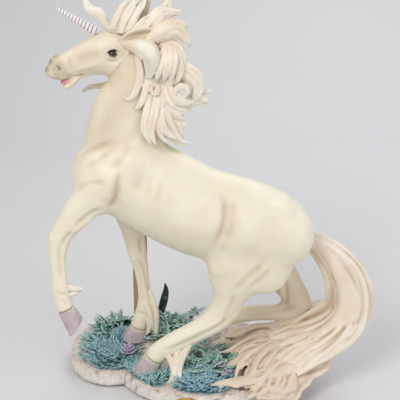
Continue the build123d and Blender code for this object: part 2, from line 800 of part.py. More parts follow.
def bed(x_share, y_share, half_x_share, half_y_share, floor):
    foot = Plane(on_base(x_share, y_share, floor - cover_sink)) * Ellipse(
        half_x_share * base_length, half_y_share * base_depth
    )
    crown = Plane(on_base(x_share, y_share, floor + tuft_height)) * Ellipse(
        half_x_share * base_length * 0.8, half_y_share * base_depth * 0.8
    )
    return loft([foot, crown], ruled=True)


def spots(x_share, y_share, half_x_share, half_y_share, count):
    """Even spots over an oval, from the middle outwards, with the way each one leans."""
    for i in range(count):
        reach = sqrt((i + 0.5) / count)
        turn = radians(golden_turn_deg * i)
        yield (
            (x_share + half_x_share * reach * cos(turn)) * base_length,
            (y_share + half_y_share * reach * sin(turn)) * base_depth,
            Vector(cos(turn), sin(turn), 0),
            reach,
        )


def spike(root, way, length, width):
    """A three-sided blade that narrows to its tip."""
    foot = Plane(origin=root, z_dir=way) * RegularPolygon(width / 2, 3)
    tip = Plane(origin=root + way.normalized() * length, z_dir=way) * RegularPolygon(width / 10, 3)
    return loft([foot, tip], ruled=True)


def grass(x_share, y_share, half_x_share, half_y_share, floor, count, length):
    turf = bed(x_share, y_share, half_x_share, half_y_share, floor)
    blades = []
    for x, y, out, reach in spots(x_share, y_share, half_x_share * 0.72, half_y_share * 0.72, count):
        way = up + out * (0.25 + 0.95 * reach)
        blades.append(spike(Vector(x, y, floor), way, length, blade_width))
    return turf.fuse(*blades)


def leaf(root, way, length, width):
    """A flat pointed leaf on its own stalk end."""
    way = way.normalized()
    across = up.cross(way).normalized()
    outline = [(0, 0), (0.35, 0.5), (0.6, 0.34), (1, 0), (0.6, -0.34), (0.35, -0.5)]
    flat = Plane(origin=root, x_dir=way, z_dir=way.cross(across))
    face = flat * Polygon(*[(a * length, b * width) for a, b in outline], align=None)
    return extrude(face, leaf_thickness / 2, both=True)


def leaves(x_share, y_share, half_x_share, half_y_share, floor, count, length, width, lift):
    turf = bed(x_share, y_share, half_x_share, half_y_share, floor)
    grown_leaves = []
    for x, y, out, reach in spots(x_share, y_share, half_x_share * 0.6, half_y_share * 0.6, count):
        way = up * lift + out * (0.4 + 0.6 * reach)
        grown_leaves.append(leaf(Vector(x, y, floor), way, length, width))
    return turf.fuse(*grown_leaves)


# Assembly: what carries a piece keeps its shape, and the piece is fitted to it
for rod_form in dowels.values():
    torso = torso - rod_form if near(torso, rod_form) else torso
torso = largest(torso)
near_hind = fitted(near_hind_form, torso, near_hind_dowel, foot_pins[0])
far_hind = fitted(far_hind_form, torso, far_hind_dowel, foot_pins[1])
far_fore = fitted(far_fore_form, torso, far_fore_dowel, foot_pins[2])
near_fore = fitted(near_fore_form, torso, neck, near_fore_dowel)
neck = fitted(neck, neck_dowel, head_dowel, *eyes)
head = fitted(head_form, neck, head_dowel, horn_pin, *eyes, *nostrils, lower_jaw, tongue)
horn = fitted(horn_form, head, horn_pin)
tongue = fitted(tongue, lower_jaw)
for pin in foot_pins:
    base = base - pin
base = base - post_tenon - wood_screw(0)
base = largest(base)
post = fitted(post_form + post_tenon, torso, far_fore) - wood_screw(0)

keep("felt_pad", pad)
keep("base", base)
keep("name_plate", plate)
keep("support_post", largest(post))
keep("post_screw", screw)
keep("torso", torso)
keep("neck", neck)
keep("head", head)
keep("lower_jaw", lower_jaw)
keep("tongue", tongue)
keep("eyes", Compound(children=[eye.solid() for eye in eyes]))
keep("near_ear", fitted(ear(-1), head, neck))
keep("far_ear", fitted(ear(1), head, neck))
keep("horn", horn)
keep("horn_pin", horn_pin)
keep("near_hind_leg", near_hind)
keep("near_hind_hoof", fitted(near_hind_hoof, foot_pins[0]))
keep("far_hind_leg", far_hind)
keep("far_hind_hoof", fitted(far_hind_hoof, foot_pins[1]))
keep("far_fore_leg", far_fore)
keep("far_fore_hoof", fitted(far_fore_hoof, foot_pins[2]))
keep("near_fore_leg", near_fore)
keep("near_fore_hoof", near_fore_hoof)
keep("near_fore_feather", feather(*near_fore_feather_ends, FEATHER_SHARES, [near_fore]))
keep("far_fore_feather", feather(*far_fore_feather_ends, FEATHER_SHARES, [far_fore, far_fore_hoof]))
feather_carriers = [near_hind, near_hind_hoof, base]
keep("near_hind_feather", feather(*near_hind_feather_ends, LONG_FEATHER_SHARES, feather_carriers))
for name, shape in dowels.items():
    keep(name, shape)
keep("foot_pins", Compound(children=[pin.solid() for pin in foot_pins]))

# Tail and train
fall = fitted(fall_form, torso, tail_dowel, base)
keep("tail_fall", fall)
laid = [fall, nodes["far_hind_leg"], nodes["far_hind_hoof"], base]
for name, shares in TRAIN_SHARES.items():
    laid.append(keep(name, fitted(tress(shares), *laid)))

# Mane
dressed = [nodes[name] for name in ("torso", "neck", "head", "horn", "near_ear", "far_ear", "near_fore_leg")]
for name, locks in MANE_SHARES.items():
    dressed.append(keep(name, fitted(clump(locks), *dressed)))

# Ground cover
standing = [nodes[name] for name in (
    "base", "support_post", "near_hind_leg", "near_hind_hoof", "near_hind_feather",
    "far_hind_leg", "far_hind_hoof", "far_fore_hoof", "far_fore_leg", "far_fore_feather",
    "train_far", "train_middle", "train_near",
)]
cover = {
    "grass_left": grass(-0.345, 0.08, 0.12, 0.24, ground, 34, blade_length),
    "grass_front": grass(-0.15, -0.29, 0.10, 0.10, ground, 18, blade_length * 0.6),
    "grass_right": grass(0.06, -0.25, 0.11, 0.14, ground, 30, blade_length),
    "fern": leaves(-0.31, 0.42, 0.10, 0.10, ground, 9, leaf_length * 1.6, leaf_width * 0.6, 0.9),
    "ivy": leaves(0.05, -0.03, 0.11, 0.09, ground, 14, leaf_length, leaf_width, 1.1),
    "back_leaves": leaves(-0.07, 0.36, 0.13, 0.10, mound_top, 16, leaf_length, leaf_width, 1.0),
}
for name, shape in cover.items():
    standing.append(keep(name, fitted(shape, *standing)))

for name, shape in nodes.items():
    export_step(shape, f"parts/{name}.step")
print(len(nodes), "nodes")
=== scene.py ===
import math
import random

import bmesh
import bpy
import numpy as np
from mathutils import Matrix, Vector, noise
from mathutils.bvhtree import BVHTree
from mathutils.kdtree import KDTree


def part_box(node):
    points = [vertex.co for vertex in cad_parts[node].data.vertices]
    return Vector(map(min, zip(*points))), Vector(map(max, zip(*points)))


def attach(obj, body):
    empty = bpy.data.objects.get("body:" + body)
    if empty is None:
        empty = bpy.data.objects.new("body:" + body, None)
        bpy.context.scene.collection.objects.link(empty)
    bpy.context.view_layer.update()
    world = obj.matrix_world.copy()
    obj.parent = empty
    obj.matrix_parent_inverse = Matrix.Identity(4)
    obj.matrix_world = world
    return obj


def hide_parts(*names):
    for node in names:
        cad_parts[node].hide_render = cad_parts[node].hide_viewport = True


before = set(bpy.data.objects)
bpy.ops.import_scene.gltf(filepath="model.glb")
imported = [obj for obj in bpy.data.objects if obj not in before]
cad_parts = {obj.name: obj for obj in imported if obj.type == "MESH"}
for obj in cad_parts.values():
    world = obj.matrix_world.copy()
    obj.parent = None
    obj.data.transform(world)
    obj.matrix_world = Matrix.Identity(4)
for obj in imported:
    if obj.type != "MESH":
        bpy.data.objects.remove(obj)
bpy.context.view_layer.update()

# Units and the photograph's view
MM = 0.001
PHOTO_PIXELS = 400
CAMERA_PLACE = np.array((0.010, -0.932, 0.520))
CAMERA_TILT = math.radians(19)
FOCAL_PIXELS = 960.0
SENSOR_WIDTH = 36.0
AHEAD = np.array((0.0, math.cos(CAMERA_TILT), -math.sin(CAMERA_TILT)))
UPWARD = np.array((0.0, math.sin(CAMERA_TILT), math.cos(CAMERA_TILT)))
# Colour attribute that holds a mesh's paint masks
TINT = "tint"
random.seed(12)


def sight(px, py):
    """Direction in which the photograph's camera sees pixel px, py."""
    across = np.array((1.0, 0, 0)) * (px - PHOTO_PIXELS / 2) / FOCAL_PIXELS
    return AHEAD + across + UPWARD * (PHOTO_PIXELS / 2 - py) / FOCAL_PIXELS


def seen(px, py, depth):
    """Point that the photograph shows at pixel px, py, when its Y is depth, in millimetres."""
    ray = sight(px, py)
    return CAMERA_PLACE + ray * (depth * MM - CAMERA_PLACE[1]) / ray[1]


def on_height(px, py, height):
    """Point that the photograph shows at pixel px, py, when its Z is height, in millimetres."""
    ray = sight(px, py)
    return CAMERA_PLACE + ray * (height * MM - CAMERA_PLACE[2]) / ray[2]


def pixels(places):
    """Pixels at which the photograph's camera sees an array of points."""
    offset = places - CAMERA_PLACE
    far = offset @ AHEAD
    across = PHOTO_PIXELS / 2 + FOCAL_PIXELS * offset[:, 0] / far
    down = PHOTO_PIXELS / 2 - FOCAL_PIXELS * (offset @ UPWARD) / far
    return np.stack((across, down), axis=1)


def near_side_pixels(places):
    """Pixels of the places, with the far side mirrored to the near one, so that both are worked alike."""
    mirrored = places.copy()
    mirrored[:, 1] = -np.abs(mirrored[:, 1])
    return pixels(mirrored)


def smooth_line(points, steps):
    """Catmull-Rom line through rows of numbers, steps rows for each span."""
    rows = np.array(points, dtype=float)
    first, last = 2 * rows[0] - rows[1], 2 * rows[-1] - rows[-2]
    rows = np.vstack((first, rows, last))
    made = []
    for index in range(1, len(rows) - 2):
        before, here, there, after = rows[index - 1:index + 3]
        for step in range(steps):
            u = step / steps
            bend = 2 * here + (there - before) * u + (2 * before - 5 * here + 4 * there - after) * u ** 2
            made.append((bend + (3 * here - before - 3 * there + after) * u ** 3) / 2)
    made.append(rows[-2])
    return np.array(made)


def unit(rows):
    return rows / np.maximum(np.linalg.norm(rows, axis=-1, keepdims=True), 1e-9)


# Meshes

# Gap in metres under which vertices are merged
MERGE_GAP = 1e-6
BALL_SEGMENTS = 32
BALL_RINGS = 20


def linked(name, data):
    """A new object of the scene, at the origin."""
    made = bpy.data.objects.new(name, data)
    bpy.context.scene.collection.objects.link(made)
    return made


def mesh_object(name, places, faces, tints=None):
    """A new smooth-shaded mesh object, with its paint masks."""
    mesh = bpy.data.meshes.new(name)
    mesh.from_pydata([tuple(place) for place in places], [], faces)
    mesh.shade_smooth()
    if tints is not None:
        paint(mesh, tints)
    return linked(name, mesh)


def ring_faces(rows, sides):
    """Faces of a tube of rings, closed by its last two points."""
    faces = [(row * sides + side, row * sides + (side + 1) % sides,
              (row + 1) * sides + (side + 1) % sides, (row + 1) * sides + side)
             for row in range(rows - 1) for side in range(sides)]
    start, end, last = rows * sides, rows * sides + 1, (rows - 1) * sides
    faces += [(start, (side + 1) % sides, side) for side in range(sides)]
    faces += [(end, last + side, last + (side + 1) % sides) for side in range(sides)]
    return faces


def outward(piece):
    """Turns every face of a closed mesh outward."""
    shell = bmesh.new()
    shell.from_mesh(piece.data)
    bmesh.ops.recalc_face_normals(shell, faces=shell.faces)
    shell.to_mesh(piece.data)
    shell.free()


def paint(mesh, tints):
    layer = mesh.color_attributes.get(TINT) or mesh.color_attributes.new(TINT, "FLOAT_COLOR", "POINT")
    colours = np.ones((len(mesh.vertices), 4))
    colours[:, :3] = np.clip(tints, 0, 1)
    layer.data.foreach_set("color", colours.ravel())


def places_of(mesh):
    flat = np.empty(len(mesh.vertices) * 3)
    mesh.vertices.foreach_get("co", flat)
    return flat.reshape(-1, 3)


def normals_of(mesh):
    flat = np.empty(len(mesh.vertices) * 3)
    mesh.vertex_normals.foreach_get("vector", flat)
    return flat.reshape(-1, 3)


def set_places(mesh, places):
    mesh.vertices.foreach_set("co", places.ravel())
    mesh.update()


def only(piece):
    """Leaves this object alone selected and active."""
    bpy.ops.object.select_all(action="DESELECT")
    piece.select_set(True)
    bpy.context.view_layer.objects.active = piece


def apply_modifier(piece, kind, **settings):
    only(piece)
    modifier = piece.modifiers.new(kind.lower(), kind)
    for key, value in settings.items():
        setattr(modifier, key, value)
    bpy.ops.object.modifier_apply(modifier=modifier.name)


def copy_of_nodes(name, *nodes):
    """One new object holding merged copies of CAD nodes."""
    joined = bmesh.new()
    for node in nodes:
        joined.from_mesh(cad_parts[node].data)
    bmesh.ops.remove_doubles(joined, verts=joined.verts, dist=MERGE_GAP)
    mesh = bpy.data.meshes.new(name)
    joined.to_mesh(mesh)
    joined.free()
    return linked(name, mesh)


def tree_of(node):
    """Search tree over a CAD node's faces."""
    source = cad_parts[node].data
    faces = [tuple(face.vertices) for face in source.polygons]
    return BVHTree.FromPolygons([vertex.co for vertex in source.vertices], faces)


def ball(place, radius, scale, tilt=0.0):
    """A ball squashed by scale and then tilted about Y."""
    bpy.ops.object.select_all(action="DESELECT")
    bpy.ops.mesh.primitive_uv_sphere_add(segments=BALL_SEGMENTS, ring_count=BALL_RINGS, radius=radius,
                                         location=place)
    form = bpy.context.object
    form.scale = scale
    form.rotation_euler = (0, tilt, 0)
    bpy.ops.object.transform_apply(location=True, rotation=True, scale=True)
    return form


def joined_objects(name, pieces):
    only(pieces[0])
    for piece in pieces[1:]:
        piece.select_set(True)
    bpy.ops.object.join()
    pieces[0].name = name
    return pieces[0]


def remeshed(piece, voxel):
    apply_modifier(piece, "REMESH", mode="VOXEL", voxel_size=voxel * MM, use_smooth_shade=True)
    return piece


def swelled(piece, reach):
    """Moves the skin out along its normals by reach millimetres."""
    set_places(piece.data, places_of(piece.data) + normals_of(piece.data) * reach * MM)


def eased_copy(name, node, voxel, rounds):
    """A remeshed and relaxed copy of a CAD node, with its surface and places."""
    piece = remeshed(copy_of_nodes(name, node), voxel)
    surface = Surface(piece.data)
    places = surface.relaxed(places_of(piece.data), rounds)
    set_places(piece.data, places)
    return piece, surface, places


class Surface:
    """Vertex neighbours of a mesh, for smoothing places and masks."""

    def __init__(self, mesh):
        ends = np.empty(len(mesh.edges) * 2, dtype=np.int64)
        mesh.edges.foreach_get("vertices", ends)
        self.ends = ends.reshape(-1, 2)
        self.size = len(mesh.vertices)
        self.count = np.maximum(np.bincount(self.ends.ravel(), minlength=self.size), 1)

    def mean(self, values):
        """Mean of each vertex's neighbours."""
        first, second = self.ends[:, 0], self.ends[:, 1]
        if values.ndim == 1:
            total = np.bincount(first, values[second], self.size)
            total += np.bincount(second, values[first], self.size)
            return total / self.count
        return np.stack([self.mean(column) for column in values.T], axis=1)

    def relaxed(self, values, rounds, share=0.5):
        """Values eased towards their neighbours; share may differ from vertex to vertex."""
        weight = share if np.isscalar(share) or values.ndim == 1 else share[:, None]
        for _ in range(rounds):
            values = values + weight * (self.mean(values) - values)
        return values


def grain(places, size_mm, offset=0.0):
    """Seeded noise of about the given grain size, from -1 to 1."""
    scaled = places / (size_mm * MM) + offset
    return np.array([noise.noise(Vector(place)) for place in scaled])


# Body casting

LEG_NODES = ("near_fore_leg", "far_fore_leg", "near_hind_leg", "far_hind_leg")
HEAD_NODES = ("head", "lower_jaw")
TRUNK_NODES = ("torso", "neck") + LEG_NODES
BODY_NODES = ("torso", "neck") + HEAD_NODES + LEG_NODES
# Parts that the trunk's folds cross, and the nodes that share another part's folds
TRUNK_LABELS = ("trunk", "neck", "near_hind_leg", "near_fore_leg")
PART_OF = {"torso": "trunk", "lower_jaw": "head"}
# Voxels of the skin, and how far it is swelled and shrunk to fill its creases, in millimetres
BODY_VOXEL = 1.15
FILL_VOXEL = 1.5
FILL_REACH = 5.5
# Rounds of relaxing
FILL_ROUNDS = 4
SKIN_ROUNDS = 3
JOINT_ROUNDS = 110
HEAD_ROUNDS = 2
OWNER_ROUNDS = 40
SHADE_ROUNDS = 8
MASK_ROUNDS = 4
HAIR_MASK_ROUNDS = 3
BEND_ROUNDS = 6
# A joint line's softening spreads over this many rounds and is then made this much stronger
JOINT_SPREAD_ROUNDS = 140
JOINT_SPREAD_GAIN = 9
# Bends, in millimetres for each edge, that get full painted shade
BODY_BEND = 0.08
HAIR_BEND = 0.07
# How far a CAD node's box may lie from a vertex that it owns, in millimetres
NODE_REACH = 6
# A fold's line: steps for each span, length of its ends as a divisor, and its share at the very end
FOLD_STEPS = 5
FOLD_END_FADE = 5
FOLD_END_SHARE = 0.25
# Depth in millimetres at which a groove gets full painted shade
FULL_SHADE_DEPTH = 2.2
# How soon folds fade as the skin turns away from the side: trunk, leg, and the least share on a leg
TRUNK_SIDE_GAIN = 2.2
LEG_SIDE_GAIN = 1.6
LEG_SIDE_LEAST = 0.15

# Muscles: middle in pixels and depth Y, half sizes along, up and deep in millimetres, tilt in degrees
MUSCLES = (
    (262, 232, -21, 46, 36, 25, 12),
    (286, 240, -17, 27, 34, 24, 30),
    (236, 262, -26, 26, 30, 17, 60),
    (262, 232, 21, 46, 36, 23, 12),
    (112, 178, -18, 26, 30, 25, -50),
    (100, 196, -24, 24, 19, 17, -35),
    (136, 168, -10, 30, 36, 33, -30),
    (118, 178, 16, 28, 32, 26, -50),
)

# Modelled folds: part, height in millimetres (negative is a groove), half width in pixels, line in pixels.
# On a leg, a fold is pressed into both faces, about the leg's middle plane.
FOLDS = (
    ("trunk", -2.4, 3.0, ((118, 172), (117.4, 182), (116.6, 192), (114, 201), (108, 209))),
    ("trunk", 2.6, 9.0, ((124, 164), (116, 178), (108, 192), (104, 202))),
    ("trunk", 1.6, 7.0, ((128, 176), (126, 192), (121, 206))),
    ("trunk", -1.6, 7.0, ((146, 158), (141, 176), (134, 194))),
    ("trunk", 1.6, 8.0, ((140, 136), (130, 152), (121, 166))),
    ("trunk", -1.4, 5.0, ((131, 142), (122, 156), (112, 168))),
    ("trunk", 2.4, 8.0, ((82, 166), (84, 178), (92, 190))),
    ("trunk", -1.6, 3.0, ((75, 190), (84, 186), (95, 183), (107, 184))),
    ("trunk", -1.3, 2.4, ((78, 156), (88, 150), (100, 146), (112, 142))),
    ("trunk", 1.2, 3.6, ((84, 161), (96, 154), (108, 149))),
    ("trunk", -1.0, 2.2, ((86, 166), (98, 159), (110, 153))),
    ("trunk", -0.9, 3.2, ((150, 176), (150, 186), (148, 196))),
    ("trunk", 0.7, 4.0, ((155, 178), (155, 190), (152, 200))),
    ("trunk", -0.9, 3.2, ((162, 182), (160, 192), (156, 202))),
    ("trunk", 3.0, 13.0, ((198, 198), (208, 208), (209, 224), (200, 240))),
    ("trunk", -2.4, 3.2, ((222, 194), (225.4, 206), (224, 221), (219, 236), (211, 250))),
    ("trunk", -3.4, 8.0, ((231, 198), (233, 212), (230, 228), (222, 244))),
    ("trunk", 2.6, 10.0, ((250, 208), (247, 228), (240, 246), (228, 256))),
    ("trunk", -1.4, 9.0, ((270, 212), (274, 230), (270, 248))),
    ("trunk", 1.6, 11.0, ((290, 222), (292, 240), (284, 256))),
    ("neck", -1.0, 6.0, ((119, 72), (113, 88), (108, 104), (102, 120), (98, 136))),
    ("neck", 0.8, 7.0, ((126, 66), (124, 84), (119, 102), (112, 122), (106, 140))),
    ("neck", -1.0, 7.0, ((142, 84), (139, 98), (133, 112), (125, 128))),
    ("neck", -0.9, 6.0, ((148, 104), (141, 120), (133, 136), (127, 150))),
    ("near_hind_leg", -1.8, 3.6, ((233, 293), (243, 283), (255, 272), (262, 265))),
    ("near_hind_leg", 1.2, 4.0, ((240, 291), (250, 281), (262, 272), (270, 262))),
    ("near_hind_leg", -1.1, 3.0, ((249, 289), (261, 279), (270, 271))),
    ("near_hind_leg", 0.8, 5.0, ((215, 268), (217, 282), (221, 298))),
    ("near_hind_leg", -1.7, 2.4, ((234, 294), (231, 304), (225, 318), (221, 326))),
    ("near_hind_leg", 1.8, 2.6, ((240, 300), (238, 311), (229, 321))),
    ("near_hind_leg", -1.6, 1.8, ((236, 311), (221, 325), (200, 336), (181, 345), (164, 351))),
    ("near_hind_leg", 1.0, 1.8, ((226, 318), (206, 328), (186, 337), (168, 346))),
    ("far_hind_leg", 1.4, 2.4, ((280, 282), (281, 292), (281, 302))),
    ("far_hind_leg", -1.6, 2.0, ((285, 280), (287, 292), (287, 304))),
    ("far_hind_leg", 1.2, 2.4, ((290, 279), (295, 290), (299, 301))),
    ("far_hind_leg", -1.3, 2.2, ((296, 307), (280, 311), (262, 315), (248, 317))),
    ("near_fore_leg", -1.8, 2.4, ((102, 209), (92, 213), (84, 219), (76, 226))),
    ("near_fore_leg", 1.4, 2.2, ((98, 216), (88, 222), (78, 229), (70, 234))),
    ("near_fore_leg", 1.4, 3.0, ((70, 205), (61, 219), (54, 230))),
    ("near_fore_leg", 1.6, 2.6, ((49, 232), (50, 238), (52, 243))),
    ("near_fore_leg", -1.8, 2.0, ((72, 232), (66, 238), (62, 246))),
    ("near_fore_leg", -1.6, 1.8, ((60, 246), (59, 256), (60, 268), (62, 280))),
    ("near_fore_leg", 1.1, 1.6, ((65, 246), (63, 258), (64, 270), (67, 282))),
    ("near_fore_leg", -1.0, 1.4, ((56, 292), (62, 295), (69, 294))),
    ("near_fore_leg", -1.2, 1.6, ((62, 300), (66, 305), (70, 309))),
    ("far_fore_leg", -2.0, 2.2, ((140, 238), (141, 247), (142, 254))),
    ("far_fore_leg", -1.5, 1.7, ((139, 258), (144, 270), (148, 286), (151, 300))),
    ("far_fore_leg", 1.2, 1.7, ((143, 256), (149, 270), (153, 286), (156, 300))),
    ("far_fore_leg", -1.2, 1.6, ((137, 262), (140, 276), (142, 292), (144, 306))),
    ("far_fore_leg", 1.2, 3.0, ((131, 250), (133, 256), (135, 262))),
    ("far_fore_leg", -1.2, 1.4, ((136, 312), (142, 314), (150, 313))),
)

# Head modelling, on the finer head mesh
FACE_FOLDS = (
    ("head", 1.2, 2.8, ((60, 58), (72, 50), (84, 44), (93, 38))),
    ("head", -1.0, 4.0, ((74, 62), (84, 57), (95, 55), (102, 56))),
    ("head", 1.0, 2.6, ((76, 70), (84, 68), (92, 66), (100, 63))),
    ("head", -0.6, 3.4, ((76, 76), (86, 73), (97, 71))),
    ("head", 1.0, 6.0, ((108, 76), (117, 74), (124, 66))),
    ("head", 1.1, 4.0, ((108, 68), (117, 64), (122, 58))),
    ("head", 1.4, 1.8, ((128, 48), (129, 55), (126, 62), (119, 69))),
    ("head", -1.6, 1.8, ((131, 50), (132, 58), (129, 65), (122, 72))),
    ("head", 1.5, 1.1, ((104, 55.5), (107.5, 50.5), (113, 48.2), (118, 49.4), (121.5, 53))),
    ("head", 1.2, 1.0, ((105, 56.5), (109.5, 58.4), (114.5, 58), (119, 55.6), (121.5, 53))),
    ("head", -1.2, 0.9, ((106, 55.2), (109, 51.8), (113, 50.2), (117, 51), (119.6, 53))),
    ("head", -1.0, 0.9, ((107, 56), (110.5, 56.9), (114.5, 56.4), (118, 54.6))),
    ("head", 1.3, 1.9, ((103, 49), (110, 45.2), (118, 44.8))),
    ("head", -0.9, 1.4, ((105, 60), (112, 62), (119, 60))),
    ("head", 1.7, 1.5, ((55, 65), (57.5, 61.5), (61.5, 62), (64.5, 66), (65.5, 71))),
    ("head", -2.2, 1.5, ((56, 66.5), (58.6, 67.6), (60.6, 71))),
    ("head", -0.8, 1.3, ((63, 74), (68, 75.5), (75, 76))),
    ("head", -0.9, 1.6, ((68, 58), (70, 64), (70, 70))),
    ("head", 1.0, 1.4, ((48, 72), (52, 76), (58, 78.5), (64, 79))),
)

# Small shifts of the muzzle, lower lip and throat, alike on both sides:
# nodes, pixel, reach in pixels, shift along X and Z in millimetres
SHIFT_DEPTH = 8
HEAD_SHIFTS = (
    (("head",), (46, 66), 6.0, (3.2, -0.6)),
    (("head",), (46, 75), 4.0, (-0.6, -1.0)),
    (("lower_jaw",), (69, 85), 8.0, (0.0, -2.0)),
    (("lower_jaw",), (80, 79), 5.0, (0.0, 2.6)),
    (("neck", "head", "lower_jaw"), (104, 83), 8.0, (3.6, 0.4)),
)


def fold_profile(spots, line, width):
    """Share of a fold at each pixel: full on its line, fading over its half width and its ends."""
    line = smooth_line(line, FOLD_STEPS)
    best = np.full(len(spots), np.inf)
    along = np.zeros(len(spots))
    total = len(line) - 1
    for index in range(total):
        start, run = line[index], line[index + 1] - line[index]
        share = np.clip(((spots - start) @ run) / max(run @ run, 1e-9), 0, 1)
        gap = np.hypot(*(spots - start - share[:, None] * run).T)
        nearer = gap < best
        best = np.where(nearer, gap, best)
        along = np.where(nearer, (index + share) / total, along)
    ends = np.clip(np.minimum(along, 1 - along) * FOLD_END_FADE, 0, 1)
    return np.exp(-((best / width) ** 2)) * (FOLD_END_SHARE + (1 - FOLD_END_SHARE) * ends)


def press_folds(places, normals, labels, folds, middles):
    """Moves vertices along their normals by the folds drawn on their part. Returns places and the painted
    shade in the grooves.
    """
    lift = np.zeros(len(places))
    darkening = np.zeros(len(places))
    for part, height, width, line in folds:
        chosen = np.nonzero(np.isin(labels, TRUNK_LABELS) if part in ("trunk", "neck") else labels == part)[0]
        middle = middles.get(part)
        mirrored = places[chosen].copy()
        if middle is None:
            side = np.clip(np.abs(normals[chosen, 1]) * TRUNK_SIDE_GAIN, 0, 1)
            mirrored[:, 1] = -np.abs(mirrored[:, 1])
        else:
            side = np.clip(np.abs(normals[chosen, 1]) * LEG_SIDE_GAIN, LEG_SIDE_LEAST, 1)
            mirrored[:, 1] = middle - np.abs(mirrored[:, 1] - middle)
        share = fold_profile(pixels(mirrored), line, width) * side
        lift[chosen] += height * share
        if height < 0:
            darkening[chosen] = np.maximum(darkening[chosen], share * min(1.0, -height / FULL_SHADE_DEPTH))
    return places + normals * (lift * MM)[:, None], darkening


def nearest_node(places, nodes):
    """Index of the CAD node nearest to each place."""
    best = np.full(len(places), np.inf)
    owner = np.zeros(len(places), dtype=int)
    reach = NODE_REACH * MM
    for index, node in enumerate(nodes):
        low, high = (np.array(corner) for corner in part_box(node))
        inside = np.all((places > low - reach) & (places < high + reach), axis=1)
        tree = tree_of(node)
        for spot in np.nonzero(inside)[0]:
            gap = tree.find_nearest(Vector(places[spot]))[3]
            if gap < best[spot]:
                best[spot], owner[spot] = gap, index
    return owner


def split_body(piece, owner, tints, names):
    """Cuts the body casting at its joint lines into closed pieces that keep its shading."""
    places, normals = places_of(piece.data), normals_of(piece.data)
    faces_of = [[] for _ in names]
    for face in piece.data.polygons:
        corners = tuple(face.vertices)
        owners = [int(owner[corner]) for corner in corners]
        faces_of[max(set(owners), key=owners.count)].append(corners)
    made = {}
    for name, faces in zip(names, faces_of):
        used = sorted({corner for face in faces for corner in face})
        shell = bmesh.new()
        corner_of = {index: shell.verts.new(places[index]) for index in used}
        for face in faces:
            shell.faces.new([corner_of[index] for index in face])
        hubs = closed_seams(shell)
        mesh = bpy.data.meshes.new(name)
        shell.to_mesh(mesh)
        shell.free()
        mesh.shade_smooth()
        paint(mesh, np.vstack((tints[used], np.zeros((hubs, 3)))))
        directions = np.vstack((normals[used], np.tile((0.0, 0.0, 1.0), (hubs, 1))))
        mesh.normals_split_custom_set_from_vertices([tuple(row) for row in directions])
        made[name] = linked(name + "_casting", mesh)
    bpy.data.objects.remove(piece)
    return made


def closed_seams(shell):
    """Closes every open seam by a fan of faces about its middle. Returns the number of seams."""
    left = {edge for edge in shell.edges if edge.is_boundary}
    hubs = 0
    while left:
        reached = [left.pop()]
        for edge in reached:
            for vertex in edge.verts:
                beside = [other for other in vertex.link_edges if other in left]
                left.difference_update(beside)
                reached += beside
        hub = shell.verts.new(sum((edge.verts[0].co for edge in reached), Vector()) / len(reached))
        hubs += 1
        for edge in reached:
            side = edge.link_loops[0]
            shell.faces.new((side.link_loop_next.vert, side.vert, hub))
    return hubs


def finer(piece, chosen):
    """Cuts the chosen vertices' edges once more, so that small folds hold."""
    shell = bmesh.new()
    shell.from_mesh(piece.data)
    edges = [edge for edge in shell.edges if all(chosen[vertex.index] for vertex in edge.verts)]
    bmesh.ops.subdivide_edges(shell, edges=edges, cuts=1, use_grid_fill=True)
    bmesh.ops.triangulate(shell, faces=[face for face in shell.faces if len(face.verts) > 4])
    shell.to_mesh(piece.data)
    shell.free()
    piece.data.shade_smooth()


def hollow_shade(surface, places, normals, scale):
    """Where shade is painted: 1 in hollows and -1 on ridges, from the bend of the surface."""
    bend = np.einsum("ij,ij->i", surface.mean(places) - places, normals)
    bend = surface.relaxed(bend, BEND_ROUNDS)
    return np.clip(bend / (scale * MM), -1, 1)


def muscle(px, py, depth, half_long, half_high, half_deep, tilt):
    """One smooth swelling of flesh, to be joined into the body. Pixels, then millimetres, then degrees."""
    return ball(seen(px, py, depth), MM, (half_long, half_deep, half_high), math.radians(tilt))


def filled_joints():
    """The body's nodes and muscles as one skin, with every crease between them filled to a round."""
    forms = [copy_of_nodes("trunk_form", *TRUNK_NODES)]
    forms += [muscle(*row) for row in MUSCLES]
    trunk = remeshed(joined_objects("trunk_form", forms), FILL_VOXEL)
    swelled(trunk, FILL_REACH)
    remeshed(trunk, FILL_VOXEL)
    places = Surface(trunk.data).relaxed(places_of(trunk.data), FILL_ROUNDS)
    set_places(trunk.data, places)
    swelled(trunk, -FILL_REACH)
    head = copy_of_nodes("head_form", *HEAD_NODES)
    return remeshed(joined_objects("body_casting", [trunk, head]), BODY_VOXEL)


def owned_by(owner, nodes):
    """Whether each vertex belongs to one of the nodes."""
    return np.isin(owner, [BODY_NODES.index(node) for node in nodes])


def settled(surface, owner):
    """Owners with their ragged borders and small islands smoothed away."""
    return surface.relaxed(np.eye(len(BODY_NODES))[owner], OWNER_ROUNDS).argmax(axis=1)


def rounded_joints(surface, places, owner):
    """Places with the skin relaxed to soft rounds along the joint lines, other than the jaw's."""
    in_head = owned_by(owner, HEAD_NODES)
    first, second = surface.ends.T
    crossing = (owner[first] != owner[second]) & ~(in_head[first] & in_head[second])
    joint = np.zeros(len(places))
    joint[np.unique(surface.ends[crossing])] = 1
    joint = np.clip(surface.relaxed(joint, JOINT_SPREAD_ROUNDS) * JOINT_SPREAD_GAIN, 0, 1)
    places = surface.relaxed(places, JOINT_ROUNDS, 0.5 * joint)
    return surface.relaxed(places, SKIN_ROUNDS)


def shifted_head(places, owner):
    """Places moved by the small shifts drawn on the head."""
    for nodes, spot, reach, shift in HEAD_SHIFTS:
        mirrored = places * (1, 0, 1) + (0, -SHIFT_DEPTH * MM, 0)
        share = np.exp(-((np.hypot(*(pixels(mirrored) - spot).T) / reach) ** 2)) * owned_by(owner, nodes)
        places = places + share[:, None] * np.array((shift[0], 0, shift[1])) * MM
    return places


